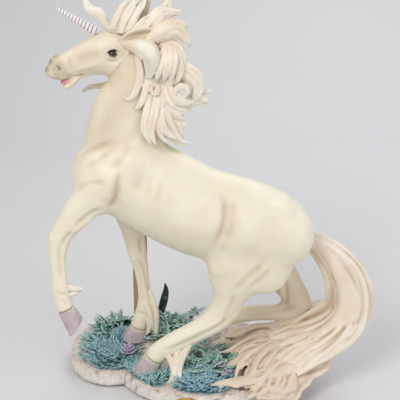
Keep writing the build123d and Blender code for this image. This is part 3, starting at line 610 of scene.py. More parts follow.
def leg_middles():
    """Y of each leg's middle plane, in metres."""
    boxes = {node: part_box(node) for node in LEG_NODES}
    return {node: (low.y + high.y) / 2 for node, (low, high) in boxes.items()}


def body_casting():
    """The body, modelled and painted as one skin and cut into one closed piece for each CAD node."""
    piece = filled_joints()
    mesh = piece.data
    surface = Surface(mesh)
    places = surface.relaxed(places_of(mesh), SKIN_ROUNDS)
    owner = nearest_node(places, BODY_NODES)
    set_places(mesh, rounded_joints(surface, places, owner))
    finer(piece, owned_by(owner, HEAD_NODES))
    surface = Surface(mesh)
    places = surface.relaxed(places_of(mesh), HEAD_ROUNDS)
    set_places(mesh, places)
    owner = settled(surface, nearest_node(places, BODY_NODES))
    labels = np.array([PART_OF.get(node, node) for node in BODY_NODES])[owner]
    places = shifted_head(places, owner)
    set_places(mesh, places)
    fold_shades = []
    for folds in (FOLDS, FACE_FOLDS):
        places, darkening = press_folds(places, normals_of(mesh), labels, folds, leg_middles())
        set_places(mesh, places)
        fold_shades.append(darkening)
    bend = hollow_shade(surface, places, normals_of(mesh), BODY_BEND)
    # Painted shade: in the folds' grooves, in the hollows, and broadly over the creases and the shaded parts
    darkening = 0.1 * fold_shades[0] + 0.3 * fold_shades[1] + 0.6 * np.clip(bend, 0, 1) + broad_shade(places, owner)
    tints = np.zeros((len(places), 3))
    tints[:, 0] = surface.relaxed(np.clip(darkening, 0, 1), SHADE_ROUNDS)
    tints[:, 1] = surface.relaxed(muzzle_shade(places, labels), MASK_ROUNDS)
    tints[:, 2] = surface.relaxed(np.clip(-bend, 0, 1), MASK_ROUNDS)
    return split_body(piece, owner, tints, BODY_NODES)


# Broad warm painted shade along the creases: strength, half width in pixels, line in pixels; and the share of
# painted shade all over each part, most on the far hind leg
BROAD_SHADES = (
    (0.30, 8, ((132, 80), (122, 100), (112, 120), (100, 140))),
    (0.35, 9, ((150, 78), (150, 96), (144, 116))),
    (0.25, 7, ((118, 82), (128, 72), (132, 60))),
    (0.22, 7, ((98, 150), (110, 146), (124, 146))),
    (0.20, 6, ((116, 180), (114, 196), (106, 208))),
    (0.22, 8, ((226, 202), (229, 222), (222, 244))),
    (0.16, 9, ((150, 214), (176, 232), (202, 244))),
    (0.20, 11, ((246, 246), (260, 262), (250, 282))),
    (0.22, 6, ((96, 72), (108, 76), (118, 72))),
    (0.22, 6, ((76, 60), (88, 56), (100, 55))),
    (0.30, 5, ((240, 296), (236, 310), (226, 322))),
)
PART_SHADES = (0.0, 0.14, 0.16, 0.20, 0.0, 0.12, 0.02, 0.30)


def broad_shade(places, owner):
    """Warm painted shade laid broadly over the casting, alike on both sides."""
    spots = near_side_pixels(places)
    shading = np.array(PART_SHADES)[owner]
    for strength, width, line in BROAD_SHADES:
        shading = shading + strength * fold_profile(spots, line, width)
    return shading


# Brown-grey paint on the head, and painted shade at the nostril, mouth corner and eyelid: pixel, reach in
# pixels, strength
MUZZLE_SHADES = (
    ((59, 69), 2.6, 0.8),
    ((54, 54), 5.0, 0.75),
    ((49, 61), 5.0, 0.75),
    ((46, 69), 4.0, 0.75),
    ((57, 70), 10.0, 0.34),
    ((57, 77), 5.0, 0.42),
    ((68, 77), 3.0, 0.35),
    ((113, 53), 4.4, 0.4),
)


def muzzle_shade(places, labels):
    """Brown-grey paint on the muzzle and lips, and painted shade in the nostril, the mouth corner and about
    the eyelids, alike on both sides.
    """
    spots = near_side_pixels(places)
    shade = np.zeros(len(places))
    for (px, py), reach, strength in MUZZLE_SHADES:
        gap = np.hypot(spots[:, 0] - px, spots[:, 1] - py)
        shade = np.maximum(shade, strength * np.exp(-((gap / reach) ** 2)))
    return np.where(labels == "head", shade, 0)


# Hair

LOCK_SIDES = 28
LOCK_STEPS = 7
LOCK_LEAST_WIDTH = 0.0002
# Share of a lock's length from which its tip goes pale
LOCK_PALE_SHARE = 0.62
TOWARDS_CAMERA = (0, 1, 0)


def lock_form(path, widths, thickness, ribs=5, groove=0.9, turn=0.0, facing=TOWARDS_CAMERA,
              sides=LOCK_SIDES, steps=LOCK_STEPS, hollow=0.0, tip=1.0):
    """A ribbed tapering tress. Lengths in metres, groove and hollow depths in millimetres.
    Returns places, faces and paint masks: painted shade in the grooves, tint at the tip, light on the ribs."""
    facing = np.broadcast_to(np.array(facing, dtype=float), path.shape)
    rows = smooth_line(np.hstack((path, widths[:, None], facing)), steps)
    spine, wide, facing = rows[:, :3], np.maximum(rows[:, 3], LOCK_LEAST_WIDTH), unit(rows[:, 4:])
    tangent = unit(np.gradient(spine, axis=0))
    across = unit(np.cross(tangent, facing))
    through = np.cross(tangent, across)
    share = np.linspace(0, 1, len(spine))
    angle = np.linspace(0, 2 * math.pi, sides, endpoint=False)
    largest_width = wide.max()
    thick = np.minimum(thickness, wide * 0.95) * np.sqrt(np.clip(wide / largest_width, 0, 1))
    phase = ribs * angle[None, :] / 2 + turn + 1.3 * np.sin(2.2 * share[:, None] + turn)
    trough = (1 - np.abs(np.sin(phase))) ** 2.2
    fade = np.clip(wide / (0.45 * largest_width), 0, 1)[:, None]
    depth = groove * MM * trough * fade
    if hollow:
        bowl = np.exp(-(((angle - math.pi * 0.5) / 0.75) ** 2))[None, :] * np.sin(share * math.pi)[:, None]
        depth = depth + hollow * MM * bowl
        trough = np.maximum(trough, bowl)
    cosine, sine = np.cos(angle)[None, :], np.sin(angle)[None, :]
    flat, tall = wide[:, None] * cosine, thick[:, None] * sine
    normal = unit(np.stack((thick[:, None] * cosine, wide[:, None] * sine), axis=2))
    flat, tall = flat - depth * normal[:, :, 0], tall - depth * normal[:, :, 1]
    rings = spine[:, None, :] + flat[:, :, None] * across[:, None, :] + tall[:, :, None] * through[:, None, :]
    places = np.vstack((rings.reshape(-1, 3), spine[:1], spine[-1:]))
    darkening = (trough * fade).ravel()
    pale = np.repeat(tip * np.clip((share - LOCK_PALE_SHARE) / (1 - LOCK_PALE_SHARE), 0, 1), sides)
    light = (1 - darkening) * 0.5
    tints = np.stack((darkening, pale, light), axis=1)
    return places, ring_faces(len(spine), sides), np.vstack((tints, tints[:1], tints[-1:]))


def joined(forms):
    """Many forms of places, faces and masks as one."""
    faces, start = [], 0
    for places, form_faces, _ in forms:
        faces += [tuple(corner + start for corner in face) for face in form_faces]
        start += len(places)
    return np.vstack([form[0] for form in forms]), faces, np.vstack([form[2] for form in forms])


# Mane locks: node, ribs, groove depth and half thickness in millimetres, then rows of pixel x, pixel y,
# depth Y in millimetres and half width in pixels.
MANE = (
    ("forelock", 3, 0.5, 5.0, (
        (120, 31.5, -5, 3.0), (112, 29, -6, 3.6), (106, 24.5, -6, 4.0), (102.5, 18, -6, 4.6),
        (98.5, 12.8, -5, 5.2), (93.5, 11, -4, 4.8), (89, 8, -2, 4.2), (86, 2.5, -1, 3.4),
        (84.6, -3, 0, 2.0), (84, -6, 0, 0.5))),
    ("poll_tuft", 9, 0.7, 9, (
        (122, 33, -6, 8), (124, 20, -6, 10.5), (131, 8, -4, 10), (139, -1, -3, 7), (144, -8, -2, 1))),
    ("poll_tuft", 4, 0.6, 4, (
        (113, 29, -9, 3.4), (116, 20, -11, 4.4), (122, 10, -10, 4.2), (129, 1, -8, 3),
        (134, -6, -6, 0.6))),
    ("poll_tuft", 4, 0.6, 4, (
        (122, 33, -12, 3.6), (124, 21, -14, 4), (129, 11, -13, 3.6), (136, 1, -10, 2.4),
        (141, -6, -8, 0.6))),
    ("poll_tuft", 4, 0.6, 4, (
        (129, 33, -12, 3.6), (132, 23, -14, 4.2), (137, 13, -13, 3.6), (143, 4, -10, 2.8),
        (147, -5, -8, 0.6))),
    ("crown_lock", 6, 0.6, 8, (
        (136, 37, -9, 5), (146, 31, -9, 8), (154, 22, -8, 9.6), (161, 14.5, -6, 8.6),
        (168, 12.6, -5, 5.4), (175, 12.4, -4, 3.4), (180, 11.8, -3, 2.6), (182.4, 12, -3, 0.6))),
    ("crown_lock", 4, 0.6, 7, (
        (152, 28, -3, 5), (159, 17, -3, 7.4), (164, 9, -2, 6.2), (167.6, 2, -1, 3.8), (170, -4, 0, 2.4),
        (171, -7, 0, 0.4))),
    ("crown_lock", 3, 0.6, 4, (
        (133, 33, -15, 2.6), (138, 27, -15, 3.4), (143, 20.5, -14, 2.8), (148, 15, -12, 0.6))),
    ("crown_lock", 3, 0.6, 4, (
        (139, 34, -15, 3), (144.5, 28, -15, 3.6), (149, 21, -14, 2.8), (151.5, 14, -12, 0.6))),
    ("nape_lock", 5, 0.5, 8, (
        (138, 39, -13, 4), (150, 37, -14, 6.4), (161, 31, -13, 8.4), (171, 26.4, -11, 8),
        (179, 25.4, -10, 6), (185, 27.6, -9, 3.4), (189.8, 30.6, -9, 0.5))),
    ("nape_lock", 5, 0.5, 7, (
        (154, 38, -12, 6), (166, 32.6, -12, 8), (176, 31, -11, 7.2), (183, 35.6, -10, 5.6),
        (187.4, 41, -9, 3.9), (190, 45.4, -8, 2.8), (191, 48.4, -8, 0.6))),
    ("side_sweep", 2, 0.2, 9, (
        (121, 44, -14, 2), (130, 45, -18, 5.6), (140, 47, -21, 9), (148, 51.5, -22, 10.4),
        (151.6, 60, -22, 8.4), (150, 70, -20, 5.4), (147, 79, -19, 0.8))),
    ("neck_lock", 2, 0.3, 3, (
        (135, 50, -14, 2.4), (138.4, 60, -16.5, 3.2), (140.4, 70, -17.5, 3.6), (139.6, 80, -18, 3.6),
        (136.2, 89, -18.6, 3.4), (132.8, 95.6, -20, 3.0), (128, 99.4, -22.5, 2.0),
        (123.4, 97.4, -23.4, 0.6))),
    ("neck_lock", 3, 0.4, 4, (
        (147, 84, -16, 3.4), (145, 93, -18, 4.0), (141.6, 102, -20, 3.6), (137, 108, -21, 2.2),
        (134, 111, -22, 0.6))),
    ("crest_fall", 3, 0.5, 10, (
        (160, 40, -6, 8), (168, 52, -8, 11), (170, 66, -9, 12), (168, 80, -9, 10), (164, 92, -9, 6))),
    ("crest_fall", 3, 0.6, 4, (
        (166, 45, -12, 3), (162, 54, -17, 3.4), (156.6, 65, -19, 3.4), (151.6, 74, -19, 2.6),
        (148.6, 80, -18, 0.6))),
    ("crest_fall", 3, 0.6, 4, (
        (168, 46, -13, 3), (165.4, 57, -19, 3.4), (161, 68, -21, 3.4), (157.4, 77, -20, 2.4),
        (155.6, 81, -19, 0.6))),
    ("crest_fall", 3, 0.6, 4, (
        (170, 47, -13, 3), (170, 58, -19, 3.4), (167.4, 69, -21, 3.6), (164.4, 78, -20, 2.4),
        (163, 82, -18, 0.6))),
    ("crest_fall", 3, 0.6, 4, (
        (172, 47, -13, 3), (174.6, 58, -18, 3.4), (173.6, 69, -19, 3.6), (171, 78, -19, 2.4),
        (169, 83, -17, 0.6))),
    ("crest_fall", 3, 0.6, 4, (
        (174, 50, -12, 3), (179.4, 60, -15, 3.4), (180, 71, -16, 3.4), (177.4, 80, -16, 2.2),
        (175.4, 85, -15, 0.6))),
    ("crest_curl_high", 5, 0.5, 8, (
        (160, 43, -9, 5), (169, 46, -9, 6.6), (177, 51, -9, 7.2), (181, 59, -8, 6.4), (182, 68, -8, 6),
        (180.6, 77, -8, 5), (178, 84, -9, 3), (176, 89, -10, 0.6))),
    ("crest_curl_mid", 6, 0.7, 9, (
        (168, 60, -6, 5), (177, 66.6, -7, 8.4), (187, 73.6, -7, 10), (194, 80.4, -7, 9.4),
        (196.6, 89, -7, 7.4), (194, 97, -8, 5.6), (189.4, 102, -9, 3), (186, 105, -9, 0.6))),
    ("crest_curl_mid", 3, 0.6, 5, (
        (186, 77, -3, 5), (194, 84, -2, 6), (200, 90, -2, 4.4), (206, 92, -2, 2.8), (210.6, 91, -2, 2.0),
        (213.4, 90.4, -2, 0.5))),
    ("crest_curl_mid", 3, 0.4, 4, (
        (176, 100, -15, 2.2), (174.4, 94.6, -16, 2.4), (176, 89, -17, 2.6), (180.6, 86, -18, 2.8),
        (185.6, 87.4, -18, 2.8), (187, 92, -17, 2.6), (184, 96, -16, 2.2), (180.4, 95.8, -15, 1.4),
        (179.8, 93, -15, 0.5))),
    ("crest_curl_low", 5, 0.6, 9, (
        (162, 84, -9, 5), (165.6, 93, -10, 8), (170.6, 101, -10, 9), (178.6, 105.6, -9, 7),
        (186, 107.6, -8, 4), (190.4, 109.4, -7, 2.2), (191.8, 112, -7, 0.5))),
    ("crest_curl_low", 4, 0.6, 7, (
        (175, 102, -6, 6), (186, 101, -6, 7), (195, 99.4, -5, 6), (202, 99.4, -4, 4.4),
        (206.2, 102, -4, 3), (207.8, 106.4, -4, 1.7), (207.8, 109, -4, 0.4))),
    ("crest_curl_low", 3, 0.6, 5, (
        (169, 86, -12, 3), (174, 95, -14, 5), (181, 100.6, -14, 5), (189, 102, -12, 3.4),
        (195, 101, -10, 0.6))),
    ("cheek_lock", 2, 0.4, 3, (
        (150, 84, -14, 1.6), (151.4, 90, -17, 2.6), (154, 95, -18.6, 2.2), (157.6, 98.6, -19, 0.6))),
    ("cheek_lock", 2, 0.4, 3, (
        (157.6, 84, -15, 1.6), (157.8, 89, -19, 2.6), (155.4, 93.4, -21, 2.2), (151, 95.6, -21.4, 0.5))),
    ("side_sweep", 1, 0, 8, (
        (136, 40, -6, 8), (143, 52, -8, 10), (147, 66, -9, 11), (148, 80, -10, 11), (146, 94, -11, 9))),
    ("shoulder_lock", 1, 0, 7, (
        (150, 88, -8, 12), (152, 104, -10, 13), (150, 118, -12, 12), (146, 132, -14, 8))),
    ("cheek_lock", 4, 0.6, 6, (
        (155, 84, -11, 6), (158, 94, -13, 7.4), (159, 104, -15, 6.4), (157, 113, -16, 3.4),
        (156, 118, -17, 1))),
    ("wither_lock_upper", 5, 0.6, 8, (
        (156, 88, -8, 6), (162, 98, -10, 8.4), (169, 107, -9, 8.6), (177, 114, -8, 6.2),
        (183, 118.6, -7, 3.8), (187.6, 124, -7, 0.8))),
    ("wither_lock_upper", 4, 0.6, 6, (
        (160, 104, -6, 7), (168, 115, -6, 8), (176, 122, -6, 6), (182.6, 127, -6, 4),
        (188, 131.6, -6, 0.8))),
    ("wither_lock_lower", 5, 0.7, 8, (
        (152, 98, -12, 7), (158, 112, -13, 10), (165, 124, -12, 9.4), (172, 133, -10, 7.6),
        (179, 140.4, -9, 5), (185.6, 143, -8, 3), (191, 143.4, -8, 0.7))),
    ("wither_lock_lower", 4, 0.7, 6, (
        (160, 112, -7, 6), (168, 122, -6, 7), (176, 130, -6, 5), (182, 135.4, -6, 2.6),
        (186, 139, -6, 0.6))),
    ("wither_lock_lower", 3, 0.6, 4, (
        (160, 118, -20, 4), (163, 127, -21, 4.6), (168.6, 134, -20, 3.6), (176, 138, -18, 2),
        (180, 139, -17, 0.6))),
    ("shoulder_lock", 3, 0.5, 4, (
        (149, 94, -16, 3), (147, 106, -19, 3.4), (144.6, 118, -22, 3.4), (144, 129, -25, 3.2),
        (147.6, 138, -27, 2.4), (151, 145, -28, 0.6))),
    ("shoulder_lock", 3, 0.5, 5, (
        (156, 96, -15, 4), (155, 108, -18, 4.8), (152.6, 120, -21, 4.6), (151, 131, -24, 3.6),
        (153.4, 140, -26, 2.4), (157, 146, -27, 0.6))),
    ("shoulder_lock", 3, 0.5, 5, (
        (161, 102, -14, 4), (161, 114, -17, 4.6), (159.4, 125, -20, 4.4), (160.6, 134, -21, 3.2),
        (165, 141, -21, 2), (169, 144, -21, 0.6))),
    ("throat_lock", 4, 0.7, 3, (
        (113, 83, 17, 3), (104, 85.6, 20, 3.4), (97, 86, 21, 3), (90, 87.2, 21, 2.6), (84, 90.6, 20, 1.8),
        (81, 92.6, 20, 0.5))),
    ("throat_lock", 3, 0.7, 2.4, (
        (105, 98, 20, 2.4), (99, 99, 21, 2.4), (94.6, 102, 21, 1.6), (92.4, 105, 21, 0.4))),
)
CREST_NODES = ("crown_lock", "nape_lock", "crest_curl_high", "crest_curl_mid", "crest_curl_low",
               "wither_lock_upper", "wither_lock_lower")
FAR_SIDE_NODES = ("crest_fall", "side_sweep", "shoulder_lock", "cheek_lock")
BACKING_DEPTH = 15.0
BACKING_WIDTH = 0.86
# Turns of a lock's ribs about it, in radians: from row to row, of its backing and of its far side
MANE_TURN = 0.9
FEATHER_TURN = 0.8
BACKING_TURN = 1.1
FAR_SIDE_TURN = 2.0
# Finer tresses: ribs, groove depth in millimetres, half thickness as a share of the clump's, steps
FINE_RIBS = 3
FINE_GROOVE = 0.45
FINE_THICK_SHARE = 0.55
FINE_STEPS = 2


def drawn(rows, deeper=0.0, wider=1.0):
    """Path and half widths in metres of rows of pixel x, pixel y, depth Y and half width."""
    path = np.array([seen(px, py, depth + deeper) for px, py, depth, _ in rows])
    return path, np.array([row[3] for row in rows]) * wider * MM


def lock_from(rows, ribs, groove, thick, turn, deeper=0.0, wider=1.0, mirrored=False, steps=LOCK_STEPS):
    path, widths = drawn(rows, deeper, wider)
    if mirrored:
        path = path * np.array((1, -1, 1))
    return lock_form(path, widths, thick * MM, ribs=ribs, groove=groove, turn=turn, steps=steps)


def fine_lock(rows, thick, turn, deeper=0.0, mirrored=False):
    return lock_from(rows, FINE_RIBS, FINE_GROOVE, thick * FINE_THICK_SHARE, turn, deeper,
                     mirrored=mirrored, steps=FINE_STEPS)


def finer_rows(rows, thick, forward):
    """Rows of the finer tresses that lie on a clump, each a little wavy and with an end of its own."""
    rows = smooth_line(rows, 3)
    across = unit(np.gradient(rows[:, :2], axis=0))[:, ::-1] * np.array((-1, 1))
    widest = rows[:, 3].max()
    count = 4 if widest > 8 else 3 if widest > 5 else 2
    for index in range(count):
        side = (index + 0.5) / count * 2 - 1 + random.uniform(-0.08, 0.08)
        ended = rows[:max(6, int(len(rows) * random.uniform(0.72, 1.0)))].copy()
        share = np.linspace(0, 1, len(ended))
        sway = np.sin(share * random.uniform(4, 7) + random.uniform(0, 6.3)) * 0.16
        stray = np.clip((share - 0.7) / 0.3, 0, 1) ** 2 * side * random.uniform(0.5, 2.4)
        middle = across[:len(ended)] * ((side * 0.72 + sway) * ended[:, 3] + stray)[:, None]
        ended[:, :2] += middle
        ended[:, 2] += forward * thick * (0.50 - 0.26 * side * side)
        slim = np.clip(1.5 / count, 0.34, 0.66) * ended[:, 3] * np.sqrt(np.clip((1 - share) * 5, 0, 1))
        ended[:, 3] = np.maximum(slim, 0.5)
        yield ended


def mane_pieces():
    """Every mane clump, with a backing tress behind the crest and a clump for the far side of the neck."""
    forms = {}
    for index, (node, ribs, groove, thick, rows) in enumerate(MANE):
        turn = index * MANE_TURN
        parts = forms.setdefault(node, [])
        parts.append(lock_from(rows, ribs + 2, groove, thick, turn))
        # A row with no groove is smooth hair that lies under the locks, on the near side alone
        if groove == 0:
            continue
        if node in CREST_NODES:
            parts.append(lock_from(rows, ribs + 2, groove, thick, turn + BACKING_TURN,
                                   BACKING_DEPTH, BACKING_WIDTH))
        if node in FAR_SIDE_NODES:
            parts.append(lock_from(rows, ribs + 2, groove, thick, turn + FAR_SIDE_TURN, mirrored=True))
        if node == "side_sweep":
            continue
        for fine in finer_rows(rows, thick, -1):
            parts.append(fine_lock(fine, thick, turn))
            if node in FAR_SIDE_NODES:
                parts.append(fine_lock(fine, thick, turn, mirrored=True))
        if node in CREST_NODES:
            for fine in finer_rows(rows, thick, 1):
                parts.append(fine_lock(fine, thick, turn, BACKING_DEPTH))
    cast_hair(forms, 0.65, 1)


def cast_hair(forms, voxel, rounds, darkened=None):
    """Casts each node's forms as one piece of hair; the last argument holds the share of darkening given all
    over each node.
    """
    for node, parts in forms.items():
        piece = cast_together(node + "_hair", parts, voxel, rounds, (darkened or {}).get(node, 0.0))
        finish_piece(piece, "hair_resin", HAIR, node)


def cast_together(name, forms, voxel, rounds, darkened):
    """Many tresses cast as one skin: joined, eased, with painted shade between them and in their grooves, and
    pale tips.
    The last argument is the share of darkening given all over."""
    places, faces, tints = joined(forms)
    piece = remeshed(mesh_object(name, places, faces), voxel)
    mesh = piece.data
    surface = Surface(mesh)
    skin = surface.relaxed(places_of(mesh), rounds)
    set_places(mesh, skin)
    tree = KDTree(len(places))
    for index, place in enumerate(places):
        tree.insert(place, index)
    tree.balance()
    nearest = np.array([tree.find(place)[1] for place in skin])
    bend = hollow_shade(surface, skin, normals_of(mesh), HAIR_BEND)
    skin_tints = tints[nearest]
    skin_tints[:, 0] = np.clip(0.3 * skin_tints[:, 0] + 0.9 * np.clip(bend, 0, 1) + darkened, 0, 1)
    skin_tints[:, 2] = np.clip(-bend, 0, 1)
    paint(mesh, surface.relaxed(skin_tints, HAIR_MASK_ROUNDS))
    return piece


# Tail: guide strands as rows of pixel x, pixel y and depth Y in millimetres, from the inner edge out
TAIL_GUIDES = (
    ((306, 241, 0), (316, 249, 0), (326, 262, 0), (334, 276, 2), (337.6, 291, 6), (335, 304, 12),
     (322, 312, 18), (306, 317, 20), (288, 322, 21), (268, 326, 22)),
    ((307, 239, -1), (320, 247, -2), (332, 260, -2), (341, 276, -1), (345.4, 294, 0), (343, 311, 2),
     (330, 324, 2), (310, 331, 2), (290, 335, 0), (266, 342, -3)),
    ((308, 238, -2), (324, 246, -3), (339, 259, -4), (350, 276, -5), (355, 295, -6), (352, 316, -10),
     (338, 332, -17), (316, 342, -22), (294, 349, -28), (272, 361, -38)),
    ((309, 238, -1), (327, 245, -3), (344, 258, -5), (357, 276, -7), (362, 296, -9), (359, 319, -14),
     (346, 337, -25), (324, 349, -34), (303, 358, -42), (284, 372, -52)),
    ((310, 239, 0), (330, 246, -2), (348, 260, -5), (361, 278, -8), (366, 298, -10), (362, 320, -16),
     (350, 339, -28), (330, 355, -41), (312, 364, -50), (298, 377, -60)),
)
# The tail where it lies on the base: rows of pixel x, pixel y and height Z in millimetres, from the far side
TRAIN_GUIDES = (
    ((335, 300, 66), (326, 303, 64), (316, 309, 60), (307, 317, 54), (294, 324, 48), (278, 327, 44),
     (262, 329, 41)),
    ((338, 312, 62), (323, 318, 56), (303, 323, 50), (284, 326, 46), (262, 328, 41), (240, 331, 35),
     (220, 335, 30)),
    ((341, 322, 58), (323, 330, 52), (303, 333, 47), (282, 336, 42), (262, 340, 37), (243, 346, 32),
     (227, 352, 28)),
    ((345, 334, 50), (327, 341, 46), (306, 343, 42), (287, 348, 37), (270, 357, 33), (254, 367, 30),
     (241, 375, 27)),
    ((345, 343, 45), (327, 349, 41), (308, 352, 37), (291, 358, 34), (275, 368, 31), (258, 379, 28),
     (240, 387, 24)),
    ((338, 353, 38), (322, 358, 35), (306, 361, 32), (292, 368, 30), (280, 378, 27), (270, 388, 24),
     (256, 396, 21)),
    ((330, 359, 35), (316, 363, 32), (304, 369, 29), (297, 377, 26), (292, 386, 22), (284, 393, 19),
     (272, 399, 17)),
)
# Layers: strands, millimetres under the guides, width share, sway in millimetres
TAIL_LAYERS = ((17, 0.0, 0.56, 1.2), (9, 5.0, 1.2, 0.6), (11, 12.0, 0.9, 0.8))
TRAIN_LAYERS = ((34, 0.0, 0.62, 3.2), (13, 3.6, 2.1, 1.2))
FALL_WIDTHS = (4.6, 5.6, 6.8, 7.8, 8.4, 8.6, 8.4, 7.4, 5.4, 0.8)
TRAIN_WIDTHS = (3.0, 4.6, 5.0, 4.8, 4.4, 3.6, 0.8)
# Curled ends laid over the train: rows of pixel x, pixel y, height Z in millimetres and half width in pixels
TRAIN_CURLS = (
    ((300, 338, 40, 3), (292, 348, 37, 4), (284, 360, 34, 4.4), (273, 369, 31, 4.4), (264, 378, 29, 4),
     (254, 381.5, 27, 3.4), (245, 381, 26, 3), (237, 386, 24, 2.8), (228, 384, 24, 2.6),
     (221, 387, 22, 2.2), (218.6, 395, 20, 0.6)),
    ((302, 350, 36, 3), (290, 361, 34, 3.6), (279, 365, 32, 3.6), (271, 373, 30, 3.4), (269, 384, 26, 3),
     (263, 392, 22, 2.4), (252, 395, 20, 0.6)),
    ((306, 352, 36, 3), (296, 362, 33, 3.6), (285, 371, 30, 3.6), (279, 381, 26, 3.2), (281, 391, 21, 2),
     (285, 396, 19, 0.6)),
    ((280, 341, 40, 3), (268, 350, 36, 4), (258, 360, 33, 4.2), (254, 370, 30, 4), (250, 378, 27, 3),
     (243, 380, 26, 2), (238, 377, 26, 0.6)),
    ((290, 337, 42, 3), (274, 343, 38, 4), (258, 350, 34, 4), (246, 358, 31, 3.6), (239, 367, 28, 3),
     (236, 376, 25, 2), (238, 382, 24, 0.6)),
    ((265, 333, 40, 3), (252, 338, 36, 4), (240, 344, 32, 4), (230, 350, 29, 3), (222, 352, 27, 2),
     (216, 350, 27, 0.6)),
    ((272, 326, 46, 3), (258, 326, 44, 3.4), (246, 330, 40, 3.4), (236, 335, 36, 3), (226, 336, 33, 2),
     (219, 332, 32, 0.6)),
    ((318, 336, 44, 3), (303, 338, 43, 4), (290, 341, 41, 4.4), (277, 351, 37, 4), (268, 362, 33, 3.4),
     (262, 371, 30, 1)),
)
FLAT_LYING = (0, -0.45, 1)
TAIL_NODES = ("tail_fall", "train_far", "train_middle", "train_near")
# Nodes of the curled ends, in the order of their rows
CURL_NODES = ("train_near",) * 3 + ("train_middle",) * 3 + ("train_far",) * 2
# Darkening given all over the tail's nodes, painted shade on their CAD form that lies under the strands, and
# how far that form is shrunk
TAIL_DARKENED = {"tail_fall": 0.04, "train_far": 0.24, "train_middle": 0.24, "train_near": 0.24}
CORE_SHADE = 0.3
CORE_SHRINK = 3.6
FALL_THICK = 5.4
TRAIN_THICK = 3.8
CURL_THICK = 3.4


def between(guides, slot):
    """Line at a share of the way through a fan of guides."""
    at = slot * (len(guides) - 1)
    lower = min(int(at), len(guides) - 2)
    return guides[lower] + (guides[lower + 1] - guides[lower]) * (at - lower)


def wavy_form(path, widths, thickness, sway, facing):
    """One tress that sways sideways by sway millimetres as it goes."""
    facing = np.broadcast_to(np.array(facing, dtype=float), path.shape)
    rows = smooth_line(np.hstack((path, widths[:, None], facing)), 4)
    lift = np.linspace(0, 1, len(rows))
    wave = np.sin(lift * random.uniform(12, 20) + random.uniform(0, 6.3)) * np.clip(lift * 3, 0, 1)
    side = unit(np.cross(np.gradient(rows[:, :3], axis=0), rows[:, 4:]))
    rows[:, :3] += (wave * sway * MM)[:, None] * side
    return lock_form(rows[:, :3], rows[:, 3], thickness, ribs=4, groove=0.8, turn=random.uniform(0, 3),
                     facing=rows[:, 4:], steps=3, tip=0.0)


def node_form(node):
    """The CAD node's own mesh, shrunk, as a form that lies under the node's strands, with painted shade where
    it shows between them.
    """
    piece = copy_of_nodes(node + "_core", node)
    swelled(piece, -CORE_SHRINK)
    places = places_of(piece.data)
    faces = [tuple(face.vertices) for face in piece.data.polygons]
    bpy.data.objects.remove(piece)
    return places, faces, np.tile((CORE_SHADE, 0.0, 0.0), (len(places), 1))


def tail_pieces():
    """The tail's strands fan out between the guides, fall, and lie down over the base."""
    forms = {node: [node_form(node)] for node in TAIL_NODES}
    fall = np.array([[seen(px, py, depth) for px, py, depth in guide] for guide in TAIL_GUIDES])
    for count, deeper, wider, sway in TAIL_LAYERS:
        for slot in np.linspace(0, 1, count):
            rows = between(fall, slot)
            lift = np.linspace(0, 1, len(rows))
            bulge = random.uniform(-5.0, 0.4) * np.sin(lift * math.pi)
            rows[:, 1] += (bulge + deeper * (1 - 0.6 * lift)) * MM
            widths = np.array(FALL_WIDTHS) * random.uniform(0.7, 1.3) * wider * MM
            facing = np.outer(1 - lift ** 3, TOWARDS_CAMERA) + np.outer(lift ** 3, FLAT_LYING)
            forms["tail_fall"].append(wavy_form(rows, widths, FALL_THICK * MM, sway, facing))
    train = np.array([[on_height(px, py, height) for px, py, height in guide] for guide in TRAIN_GUIDES])
    for count, lower, wider, sway in TRAIN_LAYERS:
        for slot in np.linspace(0, 1, count):
            rows = between(train, np.clip(slot + random.uniform(-0.02, 0.02), 0, 1))
            rows[0] += (rows[1] - rows[0]) * random.uniform(0, 0.9)
            rows[-1] += (rows[-1] - rows[-2]) * random.uniform(-0.5, 0.3)
            rows[:, 2] += (random.uniform(-1.6, 1.0) - lower) * MM
            widths = np.array(TRAIN_WIDTHS) * random.uniform(0.7, 1.3) * wider * MM
            node = TAIL_NODES[1 + min(2, int(slot * 3))]
            forms[node].append(wavy_form(rows, widths, TRAIN_THICK * MM, sway, FLAT_LYING))
    for turn, (node, rows) in enumerate(zip(CURL_NODES, TRAIN_CURLS)):
        path = np.array([on_height(px, py, height) for px, py, height, _ in rows])
        widths = np.array([row[3] for row in rows]) * MM
        forms[node].append(lock_form(path, widths, CURL_THICK * MM, ribs=4, groove=0.9, turn=turn,
                                     facing=FLAT_LYING, tip=0.3))
    cast_hair(forms, 0.95, 2, TAIL_DARKENED)


